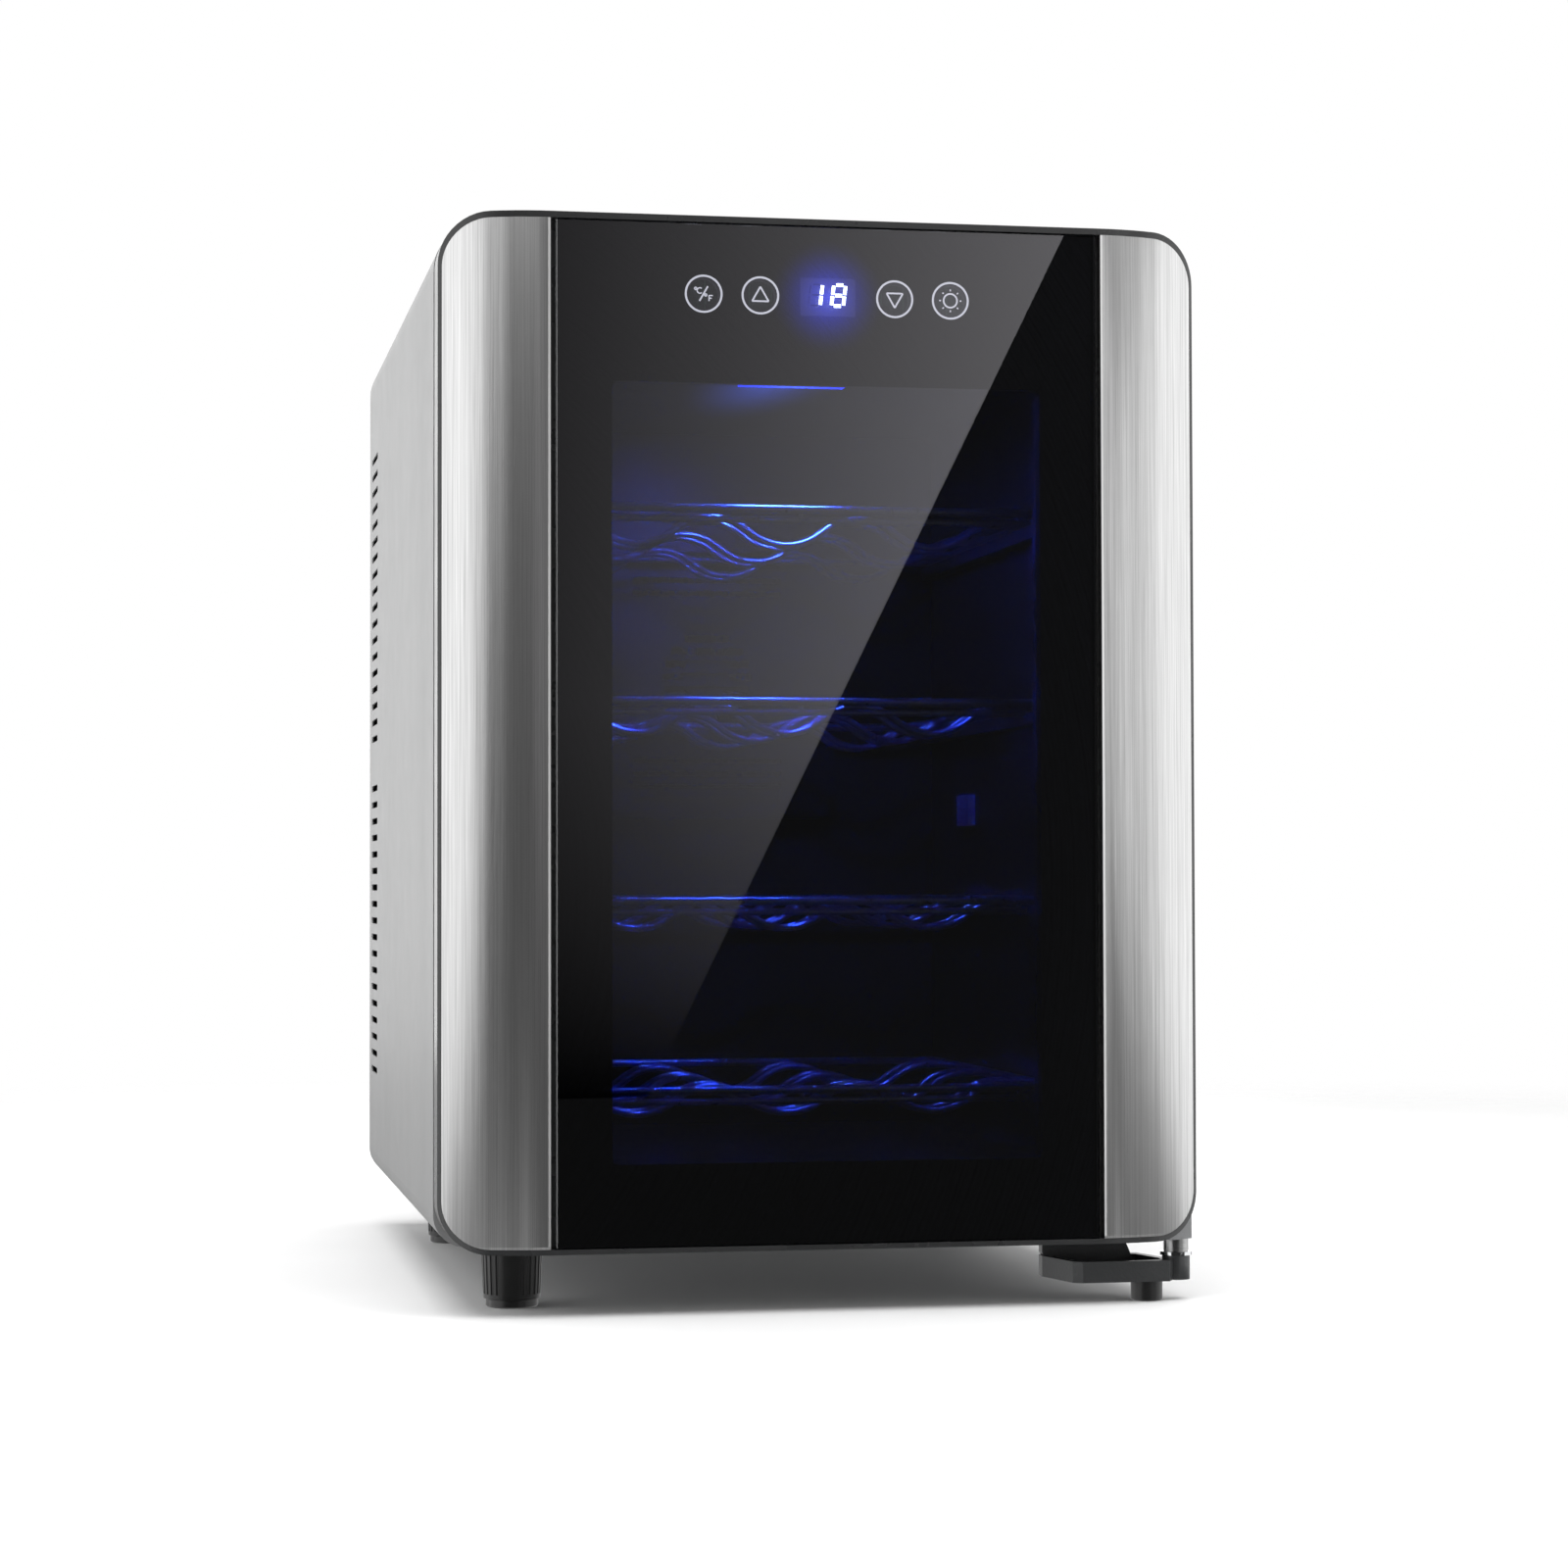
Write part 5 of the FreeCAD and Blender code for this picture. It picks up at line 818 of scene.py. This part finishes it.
def pale_floor():
    """White paper that turns clear between two distances from the middle."""
    finish = Finish("pale_studio_floor")
    far = finish.node("ShaderNodeVectorMath", {"operation": "LENGTH"}, {0: finish.places})
    sockets = {"Value": far.outputs["Value"], "From Min": FLOOR_FADE[0], "From Max": FLOOR_FADE[1]}
    fade = finish.node("ShaderNodeMapRange", {"interpolation_type": "SMOOTHSTEP"}, sockets)
    mottle = finish.noise(scale=6.0, detail=2.0, roughness=0.5)
    paper = finish.surface(
        Base_Color=finish.ramp(mottle, [(0.3, grey(0.84)), (0.7, grey(0.88))]),
        Roughness=0.7,
    )
    away = finish.node("ShaderNodeBsdfTransparent")
    mixed = {0: fade.outputs[0], 1: paper, 2: away.outputs[0]}
    return finish.show(finish.node("ShaderNodeMixShader", None, mixed).outputs[0])


floor_mesh = bmesh.new()
bmesh.ops.create_circle(floor_mesh, cap_ends=True, segments=64, radius=FLOOR_RADIUS)
floor = as_object("studio_floor", floor_mesh, pale_floor())
floor.visible_glossy = False

# %% World
CAMERA_WHITE, MIRROR_WHITE, MIRROR_GREY, FILL_GREY = 1.0, 0.65, 0.03, 0.14
BEHIND_FROM, BELOW_FROM = 0.35, -0.45
world = bpy.data.worlds.new("studio_world")
bpy.context.scene.world = world
world.use_nodes = True
sky = world.node_tree
sky.nodes.clear()


def backdrop(level):
    """A plain grey sky of one strength."""
    made = sky.nodes.new("ShaderNodeBackground")
    made.inputs["Color"].default_value = (1.0, 1.0, 1.0, 1.0)
    made.inputs["Strength"].default_value = level
    return made.outputs[0]


def choose(factor, otherwise, chosen):
    """One sky where the factor is 1, another where it is 0."""
    made = sky.nodes.new("ShaderNodeMixShader")
    for socket, source in zip(made.inputs, (factor, otherwise, chosen)):
        sky.links.new(source, socket)
    return made.outputs[0]


def sky_maths(operation, first, second):
    """A Math node of the world."""
    made = sky.nodes.new("ShaderNodeMath")
    made.operation = operation
    for socket, source in zip(made.inputs, (first, second)):
        if isinstance(source, float):
            socket.default_value = source
        else:
            sky.links.new(source, socket)
    return made.outputs[0]


way = sky.nodes.new("ShaderNodeTexCoord").outputs["Generated"]
way_apart = sky.nodes.new("ShaderNodeSeparateXYZ")
sky.links.new(way, way_apart.inputs[0])
behind = sky_maths("GREATER_THAN", way_apart.outputs["Y"], BEHIND_FROM)
below = sky_maths("LESS_THAN", way_apart.outputs["Z"], BELOW_FROM)
pale = sky_maths("MAXIMUM", behind, below)
rays = sky.nodes.new("ShaderNodeLightPath")
mirrored = choose(pale, backdrop(MIRROR_GREY), backdrop(MIRROR_WHITE))
around = choose(rays.outputs["Is Glossy Ray"], backdrop(FILL_GREY), mirrored)
around = choose(rays.outputs["Is Camera Ray"], around, backdrop(CAMERA_WHITE))
world_out = sky.nodes.new("ShaderNodeOutputWorld")
sky.links.new(around, world_out.inputs["Surface"])

# %% [markdown]
# ## Studio light
# Large soft boxes stand on both sides, so the outer edge of each bowed panel mirrors a bright box
# and the inner edge mirrors the dark room between them. A box overhead lights the floor, a low one
# at the back keeps the rear readable, and one at the front right lifts the right-hand panel.

# %% Soft boxes
def soft_box(name, place, towards, width, height, radiance, tint=(1.0, 1.0, 1.0)):
    """A rectangular area light of a given brightness, which the camera doesn't see."""
    data = bpy.data.lights.new(name, "AREA")
    data.shape = "RECTANGLE"
    data.size = width
    data.size_y = height
    data.energy = radiance * math.pi * width * height
    data.color = tint
    box = bpy.data.objects.new(name, data)
    bpy.context.scene.collection.objects.link(box)
    box.location = place
    box.rotation_euler = (Vector(towards) - Vector(place)).to_track_quat("-Z", "Y").to_euler()
    box.visible_camera = False


soft_box(
    "left_box", place=(-1.1, -0.35, 0.5), towards=(0.0, -0.35, 0.3),
    width=2.0, height=1.5, radiance=1.38)
soft_box(
    "right_box", place=(1.3, -0.45, 0.5), towards=(0.0, -0.45, 0.3),
    width=1.6, height=1.4, radiance=1.4)
soft_box(
    "front_right_box", place=(1.08, -1.75, 0.55), towards=(1.08, 0.0, 0.55),
    width=0.9, height=1.3, radiance=1.1)
soft_box(
    "top_box", place=(0.1, -0.2, 1.8), towards=(0.1, -0.2, 0.0),
    width=2.4, height=2.4, radiance=3.5)
soft_box(
    "rear_box", place=(0.0, 1.9, 0.6), towards=(0.0, 0.0, 0.3),
    width=2.0, height=1.2, radiance=1.2)

# %% [markdown]
# ### The lamp inside
# Three blue diodes shine down through the lens under the ceiling. One small area light just under
# the lens stands for them: the lens itself only glows. It is placed from the lens's own box, and it
# leans back a little, so that the rear halves of the shelves are lit too.

# %% The lamp's light
LAMP_BLUE = (0.03, 0.09, 1.0)
lens_size = LENS_HIGH - LENS_LOW
soft_box(
    "cabin_lamp", place=(LENS.x, LENS.y, LENS_LOW.z - 0.6 * MM),
    towards=(LENS.x, LENS.y + 20.0 * MM, 0.0),
    width=lens_size.x * 0.8, height=lens_size.y * 0.6, radiance=520.0, tint=LAMP_BLUE)

# %% [markdown]
# ### The slanting reflection in the glass
# A white board stands off to the front right, cut at a slant. Only mirrors see it: it gives the
# glass its bright upper-left half with a crisp diagonal edge. Its light fades to the left and
# towards its foot. Such a board is one flat panel, so it is one face between its four corners.

# %% The reflected board
BOARD_Y = -1.5
BOARD_TOP = (0.46, 0.75)
BOARD_FOOT = (0.10, 0.02)
BOARD_LEFT = -0.12
BOARD_CEILING = 1.0
BOARD_TINT = (1.0, 0.97, 1.0)
BOARD_DIMMEST = 0.06
FOOT_RISE, FOOT_DARK = 3.2, 0.06


def fading_board():
    """A light that grows from the board's left edge and from its foot."""
    finish = Finish("reflected_board")
    across = finish.axis("X")
    up = finish.axis("Z")
    span = BOARD_TOP[0] - BOARD_LEFT
    share = ((across - BOARD_LEFT) * (1.0 / span)).most(0.0)
    bright = (share ** 1.6 + BOARD_DIMMEST) * (up * FOOT_RISE - FOOT_DARK).least(1.0).most(0.0)
    tones = {0: BOARD_TINT, "Scale": bright}
    tint = finish.node("ShaderNodeVectorMath", {"operation": "SCALE"}, tones).outputs["Vector"]
    light = finish.node("ShaderNodeEmission", None, {"Color": tint, "Strength": 1.0})
    return finish.show(light.outputs[0])


def board_outline():
    """The board's corners in X and Z: its right edge runs along the slant, on to the ceiling."""
    rise = (BOARD_TOP[0] - BOARD_FOOT[0]) / (BOARD_TOP[1] - BOARD_FOOT[1])
    head = BOARD_TOP[0] + rise * (BOARD_CEILING - BOARD_TOP[1])
    return [BOARD_FOOT, (head, BOARD_CEILING), (BOARD_LEFT, BOARD_CEILING), (BOARD_LEFT, BOARD_FOOT[1])]


board_mesh = bmesh.new()
board_mesh.faces.new([board_mesh.verts.new((x, BOARD_Y, z)) for x, z in board_outline()])
board = as_object("reflected_board", board_mesh, fading_board())
board.visible_camera = False
board.visible_diffuse = False
board.visible_shadow = False
board.visible_transmission = False

# %% [markdown]
# ## Camera
# The camera stands low, a little to the left, with a long lens. It is placed from its heading, its
# tilt and its roll: Blender's camera looks along its own -Z, so it is first stood up by a quarter
# turn about X, then tilted, then turned.

# %% Camera
CAMERA_PLACE = (-0.3065, -1.7885, 0.1883)
HEADING = math.radians(10.511)
TILT = math.radians(1.632)
ROLL = math.radians(-0.1217)
LENS_LENGTH = 81.38
SENSOR_WIDTH = 36.0
NEAREST_SEEN = 50.0 * MM
camera_data = bpy.data.cameras.new("camera")
camera_data.lens = LENS_LENGTH
camera_data.sensor_width = SENSOR_WIDTH
camera_data.clip_start = NEAREST_SEEN
camera = bpy.data.objects.new("camera", camera_data)
bpy.context.scene.collection.objects.link(camera)
turned = Matrix.Rotation(-HEADING, 4, "Z") @ Matrix.Rotation(math.pi / 2 + TILT, 4, "X")
camera.matrix_world = Matrix.Translation(CAMERA_PLACE) @ turned @ Matrix.Rotation(ROLL, 4, "Z")
bpy.context.scene.camera = camera
bpy.context.scene.view_settings.view_transform = "Standard"
